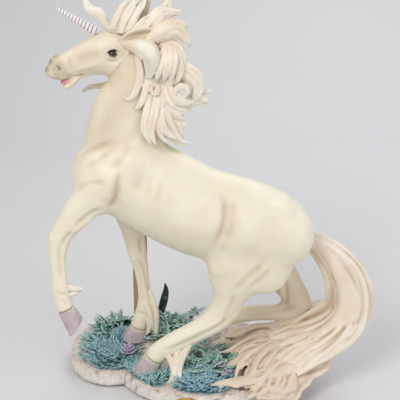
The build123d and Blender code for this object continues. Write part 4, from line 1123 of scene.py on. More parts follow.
# Fetlock hair: node, then rows of pixel x, pixel y, depth Y in millimetres and half width in pixels
FEATHERS = (
    ("near_fore_feather", (
        (64, 284, -37, 2.6), (70, 288, -37, 3.4), (76, 288.6, -37, 3), (81, 289, -37, 2.2),
        (84.8, 292.4, -37, 0.6))),
    ("near_fore_feather", (
        (63, 291, -38, 2.6), (68, 295, -38, 3), (73, 294, -38, 2.4), (78, 292, -38, 0.6))),
    ("near_fore_feather", (
        (66, 287, -34, 2.6), (72, 291, -34, 3), (78, 290.6, -34, 2.2), (82, 292, -34, 0.6))),
    ("far_fore_feather", (
        (149, 290, 22, 2.6), (153, 302, 21, 4.0), (155.4, 314, 20, 4.2), (156, 324, 20, 3.2),
        (155.6, 333, 19, 2.2), (153.4, 340, 18, 0.5))),
    ("far_fore_feather", (
        (145, 302, 18, 3.4), (149, 312, 18, 4.0), (151.6, 322, 18, 3.2), (153, 331, 18, 0.6))),
    ("far_fore_feather", (
        (147, 318, 18, 2.8), (149.4, 325, 18, 3.0), (148, 332, 17, 2.0), (144.6, 335.6, 16, 0.5))),
    ("near_hind_feather", (
        (163, 350, -34, 2.6), (168.4, 357, -37, 3.4), (173.4, 366, -41, 4.6), (175, 375, -46, 5.2),
        (172.6, 383, -52, 5.4), (166, 390, -58, 4.4), (158.6, 394, -63, 1.0))),
    ("near_hind_feather", (
        (190, 344, -32, 3.0), (185.4, 352, -35, 4.0), (180.4, 361, -39, 4.8), (177.6, 370, -43, 5.2),
        (177, 379, -49, 5.4), (175.6, 387, -56, 4.6), (172, 393, -62, 1.0))),
    ("near_hind_feather", (
        (178, 347, -32, 4.0), (177, 357, -36, 4.6), (176, 367, -41, 4.8), (175.4, 377, -46, 2.0))),
)


def feather_pieces():
    forms = {}
    for index, (node, rows) in enumerate(FEATHERS):
        forms.setdefault(node, []).append(lock_from(rows, 4, 0.7, 3.0, index * FEATHER_TURN))
    cast_hair(forms, 0.6, 2)


# Head fittings

# The horn's ends: pixel x, pixel y and depth Y; then its radii and groove in millimetres
HORN_BASE = (97.5, 32.5, 0)
HORN_TIP = (55.5, 8.0, 0)
HORN_BANDS = 13
HORN_BASE_RADIUS = 4.9
HORN_TIP_RADIUS = 1.5
HORN_GROOVE = 0.9
HORN_SIDES = 40
HORN_ROWS = 150


def horn_piece():
    """A tapering horn with one narrow spiral groove and a rounded tip."""
    base, tip = seen(*HORN_BASE), seen(*HORN_TIP)
    axis = unit(tip - base)
    across = unit(np.cross(axis, (0, 1, 0)))
    through = np.cross(axis, across)
    share = np.linspace(0, 1, HORN_ROWS)[:, None]
    angle = np.linspace(0, 2 * math.pi, HORN_SIDES, endpoint=False)[None, :]
    radius = HORN_BASE_RADIUS + (HORN_TIP_RADIUS - HORN_BASE_RADIUS) * share ** 1.05
    wound = (share ** 1.12 * HORN_BANDS + angle / (2 * math.pi)) % 1.0
    trough = np.exp(-((np.minimum(wound, 1 - wound) / 0.14) ** 2))
    rounded = radius * np.sqrt(np.clip(1 - np.clip((share - 0.97) / 0.03, 0, 1) ** 2, 0.02, 1))
    reach = (rounded - HORN_GROOVE * trough * radius / HORN_BASE_RADIUS) * MM
    places = base + (tip - base) * share[:, :, None] + reach[:, :, None] * (
        np.cos(angle)[:, :, None] * across + np.sin(angle)[:, :, None] * -through)
    masks = np.stack((trough, np.broadcast_to(share, trough.shape), np.zeros_like(trough)), axis=2)
    faces = ring_faces(HORN_ROWS, HORN_SIDES)
    places = np.vstack((places.reshape(-1, 3), base, tip))
    masks = np.vstack((masks.reshape(-1, 3), (0, 0, 0), (0, 1, 0)))
    piece = mesh_object("spiral_horn", places, faces, masks)
    outward(piece)
    finish_piece(piece, "horn_resin", HORN, "horn")


# Ears: node, side, then rows of pixel x, pixel y, depth Y in millimetres and half width in pixels
EAR_THICK = 3.4
EAR_HOLLOW = 3.4
EAR_ROWS = (
    ("near_ear", 1, (
        (121, 41, -13, 2.6), (127, 37.6, -17, 4.4), (135, 34.6, -19, 5.6), (144, 32.4, -19, 5.2),
        (151.5, 31, -17, 3.2), (157, 30.4, -15, 0.5))),
    ("far_ear", -1, (
        (134, 37, -9, 3.5), (137, 29, -11, 5.4), (140.5, 19, -12, 5.6), (144.5, 8, -11, 4.4),
        (148.5, -1, -9, 2.6), (151, -6, -8, 0.5))),
)


def ear_pieces():
    """Two hollow ears: the near one laid back along the mane, the far one standing."""
    for node, flip, rows in EAR_ROWS:
        places, faces, tints = lock_form(*drawn(rows), EAR_THICK * MM, ribs=2, groove=0,
                                         hollow=EAR_HOLLOW, tip=0)
        # The ear's hollow and grooves get darker tan and brown-grey as painted shade
        tints[:, 1] = 0.4 * tints[:, 0]
        piece = mesh_object(node + "_casting", places * np.array((1, flip, 1)), faces, tints)
        outward(piece)
        finish_piece(piece, "body_resin", BODY, node)


# Eye: pixel, half width and distance from the head's middle plane in millimetres, squash
EYE_PLACE = (112.8, 53.6)
EYE_HALF_WIDTH = 3.8
EYE_DEPTH = 14.6
EYE_SQUASH = (1.0, 0.8, 0.68)
# Pupil, in pixels: its radius, and how many times wider than high it is
PUPIL_RADIUS = 1.5
PUPIL_WIDTH = 1.25


def eye_piece():
    """Both glossy eyeballs, each a flattened ball behind its modelled lids."""
    centre = seen(*EYE_PLACE, -EYE_DEPTH)
    halves = [ball(centre * (1, flip, 1), EYE_HALF_WIDTH * MM, EYE_SQUASH) for flip in (1, -1)]
    eyes = joined_objects("glossy_eyes", halves)
    eyes.data.shade_smooth()
    spots = near_side_pixels(places_of(eyes.data))
    gap = np.hypot((spots[:, 0] - EYE_PLACE[0]) / PUPIL_WIDTH, spots[:, 1] - EYE_PLACE[1])
    paint(eyes.data, np.stack((np.exp(-((gap / PUPIL_RADIUS) ** 4)), gap * 0, gap * 0), axis=1))
    finish_piece(eyes, "eye_gloss", EYE, "eyes")


TONGUE_THICK = 6.5
TONGUE_ROWS = (
    (77, 78.6, 0, 2.6), (71, 81.0, 0, 3.6), (66, 82.2, 0, 3.6), (62.4, 82.0, 0, 2.4), (60.2, 81.4, 0, 0.5),
)


def tongue_piece():
    form = lock_form(*drawn(TONGUE_ROWS), TONGUE_THICK * MM, ribs=2, groove=0.3)
    finish_piece(mesh_object("pink_tongue", *form), "mouth_resin", MOUTH, "tongue")


# Hooves: node and the way its wall slopes down. Voxel, rings and upper band in millimetres
HOOF_SLOPES = {
    "near_fore_hoof": (-0.30, 0, -0.95),
    "far_fore_hoof": (-0.35, 0, -0.94),
    "near_hind_hoof": (-0.45, 0, -0.89),
    "far_hind_hoof": (-0.45, 0, -0.89),
}
HOOF_VOXEL = 0.7
HOOF_ROUNDS = 5
RING_PITCH = 2.6
RING_HEIGHT = 0.04
UPPER_BAND = 4.0
# Faces that lie flatter than this have no rings
SOLE_LEVEL = 0.8


def hoof_pieces():
    """Hooves with a soft upper band and faint growth rings."""
    for node, slope in HOOF_SLOPES.items():
        piece, _, places = eased_copy(node + "_casting", node, HOOF_VOXEL, HOOF_ROUNDS)
        normals = normals_of(piece.data)
        down = places @ unit(np.array(slope))
        down = (down - down.min()) / MM
        ring = np.sin(down / RING_PITCH * 2 * math.pi) * (np.abs(normals[:, 2]) < SOLE_LEVEL)
        set_places(piece.data, places + normals * (ring * RING_HEIGHT * MM)[:, None])
        upper = np.clip(1 - down / UPPER_BAND, 0, 1)
        paint(piece.data, np.stack((np.clip(-ring, 0, 1) * 0.5, upper, ring * 0), axis=1))
        finish_piece(piece, "hoof_resin", HOOF, node)


# Ground casting

# Voxel of the ground, and the height over which its roughness sets in, in millimetres
GROUND_VOXEL = 1.3
GROUND_ROUNDS = 6
GROUND_MASK_ROUNDS = 2
ROUGH_FROM = 3
# Grain sizes and depths of the ground's lumps, grit and pits in millimetres, and their noise offsets
LUMP_SIZE, LUMP_DEPTH = 14, 1.3
GRIT_SIZE, GRIT_DEPTH, GRIT_OFFSET = 4, 0.5, 31
PIT_SIZE, PIT_DEPTH, PIT_OFFSET = 6, 3.0, 77
PIT_LEVEL = 0.25


def ground_piece():
    """The lobed base with a rough stone rim and an uneven earth top."""
    piece, surface, places = eased_copy("ground_casting", "base", GROUND_VOXEL, GROUND_ROUNDS)
    normals = normals_of(piece.data)
    above = np.clip((places[:, 2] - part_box("base")[0].z) / (ROUGH_FROM * MM), 0, 1)
    grit = grain(places, GRIT_SIZE, GRIT_OFFSET)
    pits = np.clip(grain(places, PIT_SIZE, PIT_OFFSET) - PIT_LEVEL, 0, 1)
    lift = (grain(places, LUMP_SIZE) * LUMP_DEPTH + grit * GRIT_DEPTH - pits * PIT_DEPTH) * above
    places = places + normals * (lift * MM)[:, None]
    set_places(piece.data, places)
    darkening = np.clip(pits * 2.4 + np.clip(-grit, 0, 1) * 0.6, 0, 1)
    wall = np.clip(1 - np.abs(normals[:, 2]) * 1.4, 0, 1)
    tints = np.stack((darkening, planted(places), wall), axis=1)
    paint(piece.data, surface.relaxed(tints, GROUND_MASK_ROUNDS))
    finish_piece(piece, "earth_resin", GROUND, "base")


# Planting: centre X, Y and reach in millimetres, number of blades, blade length, blueness, node
TUFTS = (
    (-98, 8, 22, 150, 11, 0.35, "grass_left"),
    (-84, 22, 24, 150, 11, 0.55, "grass_left"),
    (-104, 34, 18, 90, 11, 0.25, "grass_left"),
    (-88, -10, 20, 130, 10, 0.50, "grass_left"),
    (-74, 6, 18, 110, 11, 0.60, "grass_left"),
    (-92, 50, 16, 70, 10, 0.40, "grass_left"),
    (-60, -42, 20, 130, 10, 0.30, "grass_front"),
    (-42, -52, 20, 120, 9, 0.25, "grass_front"),
    (-28, -44, 16, 80, 9, 0.20, "grass_front"),
    (-50, -26, 18, 90, 10, 0.45, "grass_front"),
    (0, -62, 18, 140, 10, 0.75, "grass_right"),
    (18, -66, 18, 130, 10, 0.85, "grass_right"),
    (30, -48, 18, 120, 11, 0.80, "grass_right"),
    (12, -40, 18, 90, 11, 0.70, "grass_right"),
    (-2, -44, 14, 60, 11, 0.60, "grass_right"),
    (-57, -57, 13, 60, 8, 0.25, "grass_front"),
    (-42, -66, 12, 50, 8, 0.20, "grass_front"),
)
# Bare places under the fetlock hair that lies on the ground: centre X, Y and reach in millimetres
FEATHER_CLEARINGS = ((-20, -53, 9), (-24, -63, 9), (-33, -64, 6))
# Fern fronds: centre X, Y; reach in millimetres and blades of each, and the fern's blueness
FRONDS = ((-104, 66), (-96, 78), (-88, 86), (-78, 92), (-68, 90), (-62, 84), (-90, 72), (-76, 78), (-100, 56))
FROND_REACH = 7
FROND_BLADES = 9
FROND_SHADE_REACH = 12
FERN_BLUE = 0.12
# Leaves: centre X, Y and reach in millimetres, number of leaves, node
IVY_CENTRES = (
    (-40, 30, 12, 16, "ivy"),
    (-28, 46, 16, 22, "back_leaves"),
    (-10, 52, 16, 22, "back_leaves"),
    (6, 62, 14, 16, "back_leaves"),
    (8, -8, 14, 20, "ivy"),
    (20, 2, 14, 18, "ivy"),
    (32, -14, 12, 16, "ivy"),
    (20, -26, 16, 18, "ivy"),
    (-20, 60, 14, 14, "back_leaves"),
    (-32, 18, 10, 10, "ivy"),
    (36, -32, 10, 10, "ivy"),
    (4, -28, 12, 12, "ivy"),
)
# Blossoms: pixel x, pixel y and height Z in millimetres; then their petals
FLOWER_PLACES = (
    (186, 318, 36), (193, 315, 38), (199, 311, 40), (203, 309, 42), (190, 321, 34), (178, 328, 32),
    (171, 331, 30), (184, 327, 32), (155, 334, 30), (150, 331, 30), (224, 374, 27), (229, 371, 27),
    (221, 366, 28), (217, 363, 28),
)
PETALS = 5
PETAL_LENGTH = 4.2
PETAL_TILT = 0.35
# Bud: pixel x, pixel y and height Z, petal length, then layers of reach, tilt and number of petals
BUD_PLACE = (128, 348, 30)
BUD_PETAL_LENGTH = 8.0
BUD_LAYERS = ((2.0, 1.25, 5), (3.2, 0.95, 7), (4.4, 0.6, 8))
# Blades keep this far from the casting's edge, in millimetres: plain tufts, and tufts of short blades
EDGE_MARGIN = 7
SHORT_EDGE_MARGIN = 2.5
SHORT_BLADE = 8
SHADE_MARGINS = (3, 5, 7)
QUARTER_TURNS = (0, 1.57, 3.14, 4.71)
# How deep a blade's foot stands in the ground, and the height from which the ground can be shaded
FOOT_DEPTH = 1
SHADE_HEIGHT = 12
# A height in metres above all the ground, from which its top is sought
ABOVE_GROUND = 0.1
GROUND_TREE = tree_of("base")


def ground_height(x, y):
    """Height in millimetres of the casting's top at a place, or None beyond its edge."""
    hit = GROUND_TREE.ray_cast(Vector((x * MM, y * MM, ABOVE_GROUND)), Vector((0, 0, -1)))[0]
    return hit.z / MM if hit else None


def clear_of_edge(x, y, margin=EDGE_MARGIN):
    """Whether the casting's top goes on all round a place."""
    return all(ground_height(x + margin * math.cos(turn), y + margin * math.sin(turn))
               for turn in QUARTER_TURNS)


def clear_of_feather(x, y):
    """Whether a place is clear of the fetlock hair that lies on the ground."""
    return all(math.hypot(x - far_x, y - far_y) > reach for far_x, far_y, reach in FEATHER_CLEARINGS)


def planted(places):
    """How much of a planting's shade each place has: it fades out towards the casting's edge."""
    shade = np.zeros(len(places))
    spots = [row[:3] for row in TUFTS + IVY_CENTRES] + [(x, y, FROND_SHADE_REACH) for x, y in FRONDS]
    for x, y, reach in spots:
        gap = np.hypot(places[:, 0] / MM - x, places[:, 1] / MM - y)
        shade = np.maximum(shade, np.exp(-((gap / (reach * 0.85)) ** 4)))
    for index in np.nonzero(shade > 0.02)[0]:
        x, y = places[index, :2] / MM
        shade[index] *= sum(clear_of_edge(x, y, margin) for margin in SHADE_MARGINS) / len(SHADE_MARGINS)
    return shade * (places[:, 2] > SHADE_HEIGHT * MM)


def blade_form(foot, lean, length, width, tint, sides=5, rows=6, curl=0.8):
    """One curved pointed blade: it rises from its foot and bends over along lean, all in millimetres."""
    share = np.linspace(0, 1, rows)
    out = length * (0.35 * share + 0.65 * share ** 2) * curl
    up = length * (share - 0.42 * curl * share ** 2.2)
    spine = np.array(foot)[None, :] + out[:, None] * np.array((lean[0], lean[1], 0))[None, :]
    spine = spine + up[:, None] * np.array((0, 0, 1))[None, :]
    across = np.array((-lean[1], lean[0], 0))
    tangent = unit(np.gradient(spine, axis=0))
    through = np.cross(tangent, across)
    wide = width / 2 * np.sin(np.clip(share * 0.86 + 0.14, 0, 1) * math.pi) ** 0.7 + 0.08
    thick = wide * 0.38
    angle = np.linspace(0, 2 * math.pi, sides, endpoint=False)
    rings = spine[:, None, :] + (wide[:, None] * np.cos(angle))[:, :, None] * across
    rings = rings + (thick[:, None] * np.sin(angle))[:, :, None] * through[:, None, :]
    places = np.vstack((rings.reshape(-1, 3), spine[:1], spine[-1:])) * MM
    own = random.random()
    tints = np.array([(tint, along, own) for along in np.repeat(share, sides)])
    return places, ring_faces(rows, sides), np.vstack((tints, tints[:1], tints[-1:]))


def leaf_form(foot, lean, size, tint, lobes=5, tilt=0.45):
    """One domed lobed leaf standing out from its foot along lean, in millimetres."""
    points = lobes * 4
    angle = np.linspace(0, 2 * math.pi, points, endpoint=False)
    reach = size / 2 * (0.78 + 0.22 * np.cos(lobes * angle)) * (1 - 0.18 * np.cos(angle + math.pi))
    flat = np.stack((reach * np.cos(angle), reach * np.sin(angle)), axis=1)
    ahead = np.array((lean[0] * math.cos(tilt), lean[1] * math.cos(tilt), math.sin(tilt)))
    across = np.array((-lean[1], lean[0], 0))
    up = np.cross(ahead, across)
    centre = np.array(foot) + ahead * size * 0.45
    droop = -0.16 * reach ** 2 / (size / 2)
    rim = centre + flat[:, :1] * ahead + flat[:, 1:] * across + droop[:, None] * up
    inner = centre + (flat[:, :1] * ahead + flat[:, 1:] * across) * 0.5 + up * size * 0.03
    inner[::2] += up * size * 0.035
    under = rim - up * size * 0.07
    base = centre - up * size * 0.10
    top = centre + up * size * 0.02
    places = np.vstack((top, inner, rim, under, base)) * MM
    faces = []
    for index in range(points):
        after = (index + 1) % points
        faces.append((0, 1 + index, 1 + after))
        faces.append((1 + index, 1 + points + index, 1 + points + after, 1 + after))
        faces.append((1 + points + index, 1 + 2 * points + index, 1 + 2 * points + after, 1 + points + after))
        faces.append((1 + 3 * points, 1 + 2 * points + after, 1 + 2 * points + index))
    own = random.random()
    edge = [0.2] + [0.35] * points + [1.0] * points + [0.6] * points + [0.0]
    return places, faces, np.array([(tint, along, own) for along in edge])


def scattered(x, y, reach, count):
    """Seeded places in a round patch, each with the ground's height there and its outward lean."""
    for _ in range(count):
        turn, gap = random.uniform(0, 2 * math.pi), reach * math.sqrt(random.random())
        place_x, place_y = x + gap * math.cos(turn), y + gap * math.sin(turn)
        lean = turn + random.uniform(-0.9, 0.9)
        yield place_x, place_y, ground_height(place_x, place_y), (math.cos(lean), math.sin(lean))


def grass_forms(forms):
    for x, y, reach, count, length, blue, node in TUFTS:
        margin = EDGE_MARGIN if length > SHORT_BLADE else SHORT_EDGE_MARGIN
        for foot_x, foot_y, height, lean in scattered(x, y, reach, count):
            size, wide = length * random.uniform(0.7, 1.2), random.uniform(1.5, 2.5)
            tint = min(1, max(0, blue + random.uniform(-0.25, 0.25)))
            clear = clear_of_edge(foot_x, foot_y, margin) and clear_of_feather(foot_x, foot_y)
            if height is None or not clear:
                continue
            blade = blade_form((foot_x, foot_y, height - FOOT_DEPTH), lean, size, wide, tint)
            forms.setdefault(node, []).append(blade)


def fern_forms(forms):
    for x, y in FRONDS:
        for foot_x, foot_y, height, lean in scattered(x, y, FROND_REACH, FROND_BLADES):
            size, wide = random.uniform(13, 19), random.uniform(3.4, 4.6)
            if height is None or not clear_of_edge(foot_x, foot_y):
                continue
            foot = (foot_x, foot_y, height - FOOT_DEPTH)
            blade = blade_form(foot, lean, size, wide, FERN_BLUE, sides=6, curl=0.9)
            forms.setdefault("fern", []).append(blade)


def leaf_forms(forms):
    for x, y, reach, count, node in IVY_CENTRES:
        for foot_x, foot_y, height, lean in scattered(x, y, reach, count):
            size, tilt, lift = random.uniform(8, 13), random.uniform(0.1, 0.9), random.uniform(1, 9)
            tint = random.uniform(0.0, 1.0)
            if height is not None:
                leaf = leaf_form((foot_x, foot_y, height + lift), lean, size, tint, tilt=tilt)
                forms.setdefault(node, []).append(leaf)


def planting_pieces():
    """Grass, fern and leaves, one piece for each CAD bed."""
    forms = {}
    grass_forms(forms)
    fern_forms(forms)
    leaf_forms(forms)
    for node, parts in forms.items():
        finish, slot = (LEAF, "green_foliage_resin")
        if node.startswith("grass"):
            finish, slot = (TEAL, "teal_foliage_resin")
        finish_piece(mesh_object(node + "_planting", *joined(parts)), slot, finish, node)


def added_piece(name, form, finish):
    """A plant that has no CAD node of its own, with its finish."""
    piece = mesh_object(name, *form)
    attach(piece, "root")
    piece.data.materials.append(MATERIALS[finish])


def flower_piece():
    """Small mauve blossoms of five petals."""
    forms = []
    for place in FLOWER_PLACES:
        centre = on_height(*place) / MM
        for petal in range(PETALS):
            turn = petal * 2 * math.pi / PETALS + random.uniform(-0.2, 0.2)
            lean = (math.cos(turn), math.sin(turn))
            forms.append(leaf_form(centre, lean, PETAL_LENGTH, random.random(), lobes=3, tilt=PETAL_TILT))
    added_piece("mauve_flowers", joined(forms), PETAL)


def bud_piece():
    """The large lilac bud in the left grass: steep petals inside, flatter ones round them."""
    centre = on_height(*BUD_PLACE) / MM
    forms = []
    for layer, (reach, tilt, count) in enumerate(BUD_LAYERS):
        for petal in range(count):
            turn = petal * 2 * math.pi / count + layer * 0.4
            lean = (math.cos(turn), math.sin(turn))
            foot = centre + np.array((lean[0] * reach * 0.5, lean[1] * reach * 0.5, -layer * 1.2 - 3))
            forms.append(leaf_form(foot, lean, BUD_PETAL_LENGTH, 0.5 + 0.1 * layer, lobes=3, tilt=tilt))
    added_piece("lilac_bud", joined(forms), PETAL)


# Tall leaf: rows of pixel x, pixel y, depth Y in millimetres and half width in pixels
TALL_LEAF_THICK = 1.4
TALL_LEAF_FACING = (0.2, 1, 0.2)
TALL_LEAF_ROWS = (
    (158, 326, 74, 2.0), (161, 312, 76, 4.0), (164, 300, 77, 4.6), (166, 290, 78, 3.2), (165, 283, 78, 0.6),
)


def tall_leaf_piece():
    form = lock_form(*drawn(TALL_LEAF_ROWS), TALL_LEAF_THICK * MM, ribs=3, groove=0.3,
                     facing=TALL_LEAF_FACING)
    added_piece("tall_leaf", form, DARK_LEAF)


# Name plate, left blank: rings of its edge and rim, each its scale and its height in half thicknesses
PLATE_SIDES = 96
PLATE_RINGS = ((1.0, -1.0), (1.0, 0.7), (0.975, 1.0), (0.93, 1.08), (0.88, 1.0), (0.85, 0.72))


def plate_piece():
    """An oval brass plate with a raised rim, pressed into the front of the base."""
    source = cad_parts["name_plate"].data
    spots = np.array([vertex.co for vertex in source.vertices])
    centre = (spots.max(axis=0) + spots.min(axis=0)) / 2
    flat = unit(np.linalg.svd(spots - spots.mean(axis=0))[2])
    normal = flat[2] if flat[2][1] < 0 else -flat[2]
    along = flat[0] if flat[0][0] > 0 else -flat[0]
    upright = np.cross(normal, along)
    if upright[2] < 0:
        upright = -upright
    half_long = np.abs((spots - centre) @ along).max()
    half_tall = np.abs((spots - centre) @ upright).max()
    half_thick = np.abs((spots - centre) @ normal).max()
    shell = bmesh.new()
    rings = []
    for scale, height in PLATE_RINGS:
        ring = [centre + along * half_long * scale * math.cos(turn)
                + upright * (half_tall - half_long * (1 - scale)) * math.sin(turn)
                + normal * half_thick * height
                for turn in np.linspace(0, 2 * math.pi, PLATE_SIDES, endpoint=False)]
        rings.append([shell.verts.new(place) for place in ring])
    for lower, upper in zip(rings, rings[1:]):
        for side in range(PLATE_SIDES):
            after = (side + 1) % PLATE_SIDES
            shell.faces.new((lower[side], lower[after], upper[after], upper[side]))
    shell.faces.new(rings[-1])
    shell.faces.new(tuple(reversed(rings[0])))
    bmesh.ops.recalc_face_normals(shell, faces=shell.faces)
    mesh = bpy.data.meshes.new("blank_plate")
    shell.to_mesh(mesh)
    shell.free()
    mesh.shade_smooth()
    piece = linked("blank_plate", mesh)
    only(piece)
    bpy.ops.object.shade_smooth_by_angle(angle=math.radians(50))
    finish_piece(piece, "plate_brass", BRASS, "name_plate")


# Finishes

BODY = "ivory_cast_resin"
HAIR = "shade_painted_cast_resin"
HORN = "horn_cast_resin"
EYE = "eye_enamel"
MOUTH = "tongue_enamel"
HOOF = "hoof_cast_resin"
GROUND = "stone_cast_resin"
TEAL = "teal_cast_resin"
LEAF = "leaf_cast_resin"
PETAL = "petal_cast_resin"
DARK_LEAF = "dark_leaf_cast_resin"
BRASS = "stamped_brass"
POST = "stained_beech"
FELT = "pressed_felt"
ZINC = "zinc_plated_steel"
STEEL = "bright_steel"
MATERIALS = {}


def linear(code):
    """Linear colour of an sRGB hex value."""
    values = [int(code[index:index + 2], 16) / 255 for index in (1, 3, 5)]
    return [value / 12.92 if value <= 0.04045 else ((value + 0.055) / 1.055) ** 2.4
            for value in values] + [1.0]


def add_node(material, kind, links=(), **settings):
    """Adds a shader node with its input values and attributes; links are (input, output socket)."""
    node = material.node_tree.nodes.new(kind)
    for key, value in settings.items():
        if key in node.bl_rna.properties:
            setattr(node, key, value)
        else:
            node.inputs[key.replace("_", " ")].default_value = value
    for socket, source in links:
        material.node_tree.links.new(source, node.inputs[socket])
    return node


def mixed(material, factor, first, second):
    """Colour mixed from first to second by factor; each is a socket or a hex value."""
    node = material.node_tree.nodes.new("ShaderNodeMix")
    node.data_type = "RGBA"
    for socket, value in ((node.inputs[0], factor), (node.inputs[6], first), (node.inputs[7], second)):
        if isinstance(value, str):
            socket.default_value = linear(value)
        elif isinstance(value, (int, float)):
            socket.default_value = value
        else:
            material.node_tree.links.new(value, socket)
    return node.outputs[2]


def ramp_mask(material, value, start, end):
    """Mask that goes from 0 to 1 as value goes from start to end."""
    node = add_node(material, "ShaderNodeMapRange", (("Value", value),))
    node.inputs["From Min"].default_value, node.inputs["From Max"].default_value = start, end
    return node.outputs[0]


def noise_mask(material, size_mm, low, high, detail=3.0):
    """Mask from 0 to 1 of blotches about size_mm across, cut between low and high."""
    place = add_node(material, "ShaderNodeTexCoord").outputs["Object"]
    cloud = add_node(material, "ShaderNodeTexNoise", (("Vector", place),),
                     Scale=1 / (size_mm * MM), Detail=detail)
    return ramp_mask(material, cloud.outputs[0], low, high)


def masks(material):
    """The three paint masks stored on the mesh."""
    layer = add_node(material, "ShaderNodeVertexColor", layer_name=TINT)
    parts = add_node(material, "ShaderNodeSeparateColor", (("Color", layer.outputs["Color"]),))
    return parts.outputs[0], parts.outputs[1], parts.outputs[2]


def new_material(name, roughness, metallic=0.0, coat=0.0, coat_roughness=0.3, ior=1.5, sheen=0.0):
    material = bpy.data.materials.new(name)
    material.use_nodes = True
    shader = material.node_tree.nodes["Principled BSDF"]
    shader.inputs["Roughness"].default_value = roughness
    shader.inputs["Metallic"].default_value = metallic
    shader.inputs["IOR"].default_value = ior
    shader.inputs["Coat Weight"].default_value = coat
    shader.inputs["Coat Roughness"].default_value = coat_roughness
    shader.inputs["Sheen Weight"].default_value = sheen
    MATERIALS[name] = material
    return material, shader


def set_look(material, shader, colour, height=None, bump_mm=0.0, strength=0.0):
    """Links a colour, and a bump of bump_mm from a height mask."""
    material.node_tree.links.new(colour, shader.inputs["Base Color"])
    if height is not None:
        bump = add_node(material, "ShaderNodeBump", (("Height", height),), Strength=strength,
                        Distance=bump_mm * MM)
        material.node_tree.links.new(bump.outputs[0], shader.inputs["Normal"])


def cast_resin_finishes():
    # Cold cast resin, hand painted ivory: warm pale skin, tan painted shade in hollows, folds and shaded
    # parts, brown-grey paint on the muzzle with painted shade at nostril, mouth corner and eyelids, eggshell
    # sheen
    material, shader = new_material(BODY, 0.5, coat=0.08, coat_roughness=0.45)
    darkening, brown, _ = masks(material)
    colour = mixed(material, noise_mask(material, 40, 0.35, 0.7), "#F1EBD6", "#EBE2C9")
    colour = mixed(material, darkening, colour, "#C6AC8C")
    colour = mixed(material, brown, colour, "#83705F")
    set_look(material, shader, colour, noise_mask(material, 1.6, 0.2, 0.8, 5), 0.06, 0.3)

    # The same casting where it is hair: pinkish painted shade in every groove and between the tresses, tips
    # left greenish white
    material, shader = new_material(HAIR, 0.52, coat=0.06, coat_roughness=0.45)
    darkening, tips, _ = masks(material)
    colour = mixed(material, noise_mask(material, 24, 0.35, 0.7), "#F3ECDC", "#EADBC5")
    colour = mixed(material, tips, colour, "#ECEEE0")
    colour = mixed(material, darkening, colour, "#B8967A")
    set_look(material, shader, colour, noise_mask(material, 1.4, 0.2, 0.8, 5), 0.10, 0.35)

    # Horn: pearly white with lilac grey in the spiral groove as painted shade
    material, shader = new_material(HORN, 0.32, coat=0.3, coat_roughness=0.25)
    groove, _, _ = masks(material)
    colour = mixed(material, groove, "#F1EAE6", "#8E8594")
    set_look(material, shader, colour, noise_mask(material, 1.2, 0.3, 0.7), 0.05, 0.3)

    # Glossy dark brown enamel with a near black pupil
    material, shader = new_material(EYE, 0.08, coat=1.0, coat_roughness=0.03)
    pupil, _, _ = masks(material)
    set_look(material, shader, mixed(material, pupil, "#2C1A11", "#0A0807"))

    # Satin pink enamel, darker pink in its grooves as painted shade
    material, shader = new_material(MOUTH, 0.28, coat=0.4, coat_roughness=0.2)
    darkening, _, _ = masks(material)
    set_look(material, shader, mixed(material, darkening, "#E8A9A2", "#C98079"))

    # Hooves painted mauve grey, paler under the hair line, darker in the growth rings
    material, shader = new_material(HOOF, 0.42, coat=0.12, coat_roughness=0.4)
    darkening, upper, _ = masks(material)
    colour = mixed(material, noise_mask(material, 9, 0.35, 0.7), "#CDBFC1", "#B9AAAE")
    colour = mixed(material, upper, colour, "#DDD0C4")
    colour = mixed(material, darkening, colour, "#B0A0A5")
    set_look(material, shader, colour, noise_mask(material, 1.2, 0.2, 0.8, 5), 0.10, 0.35)


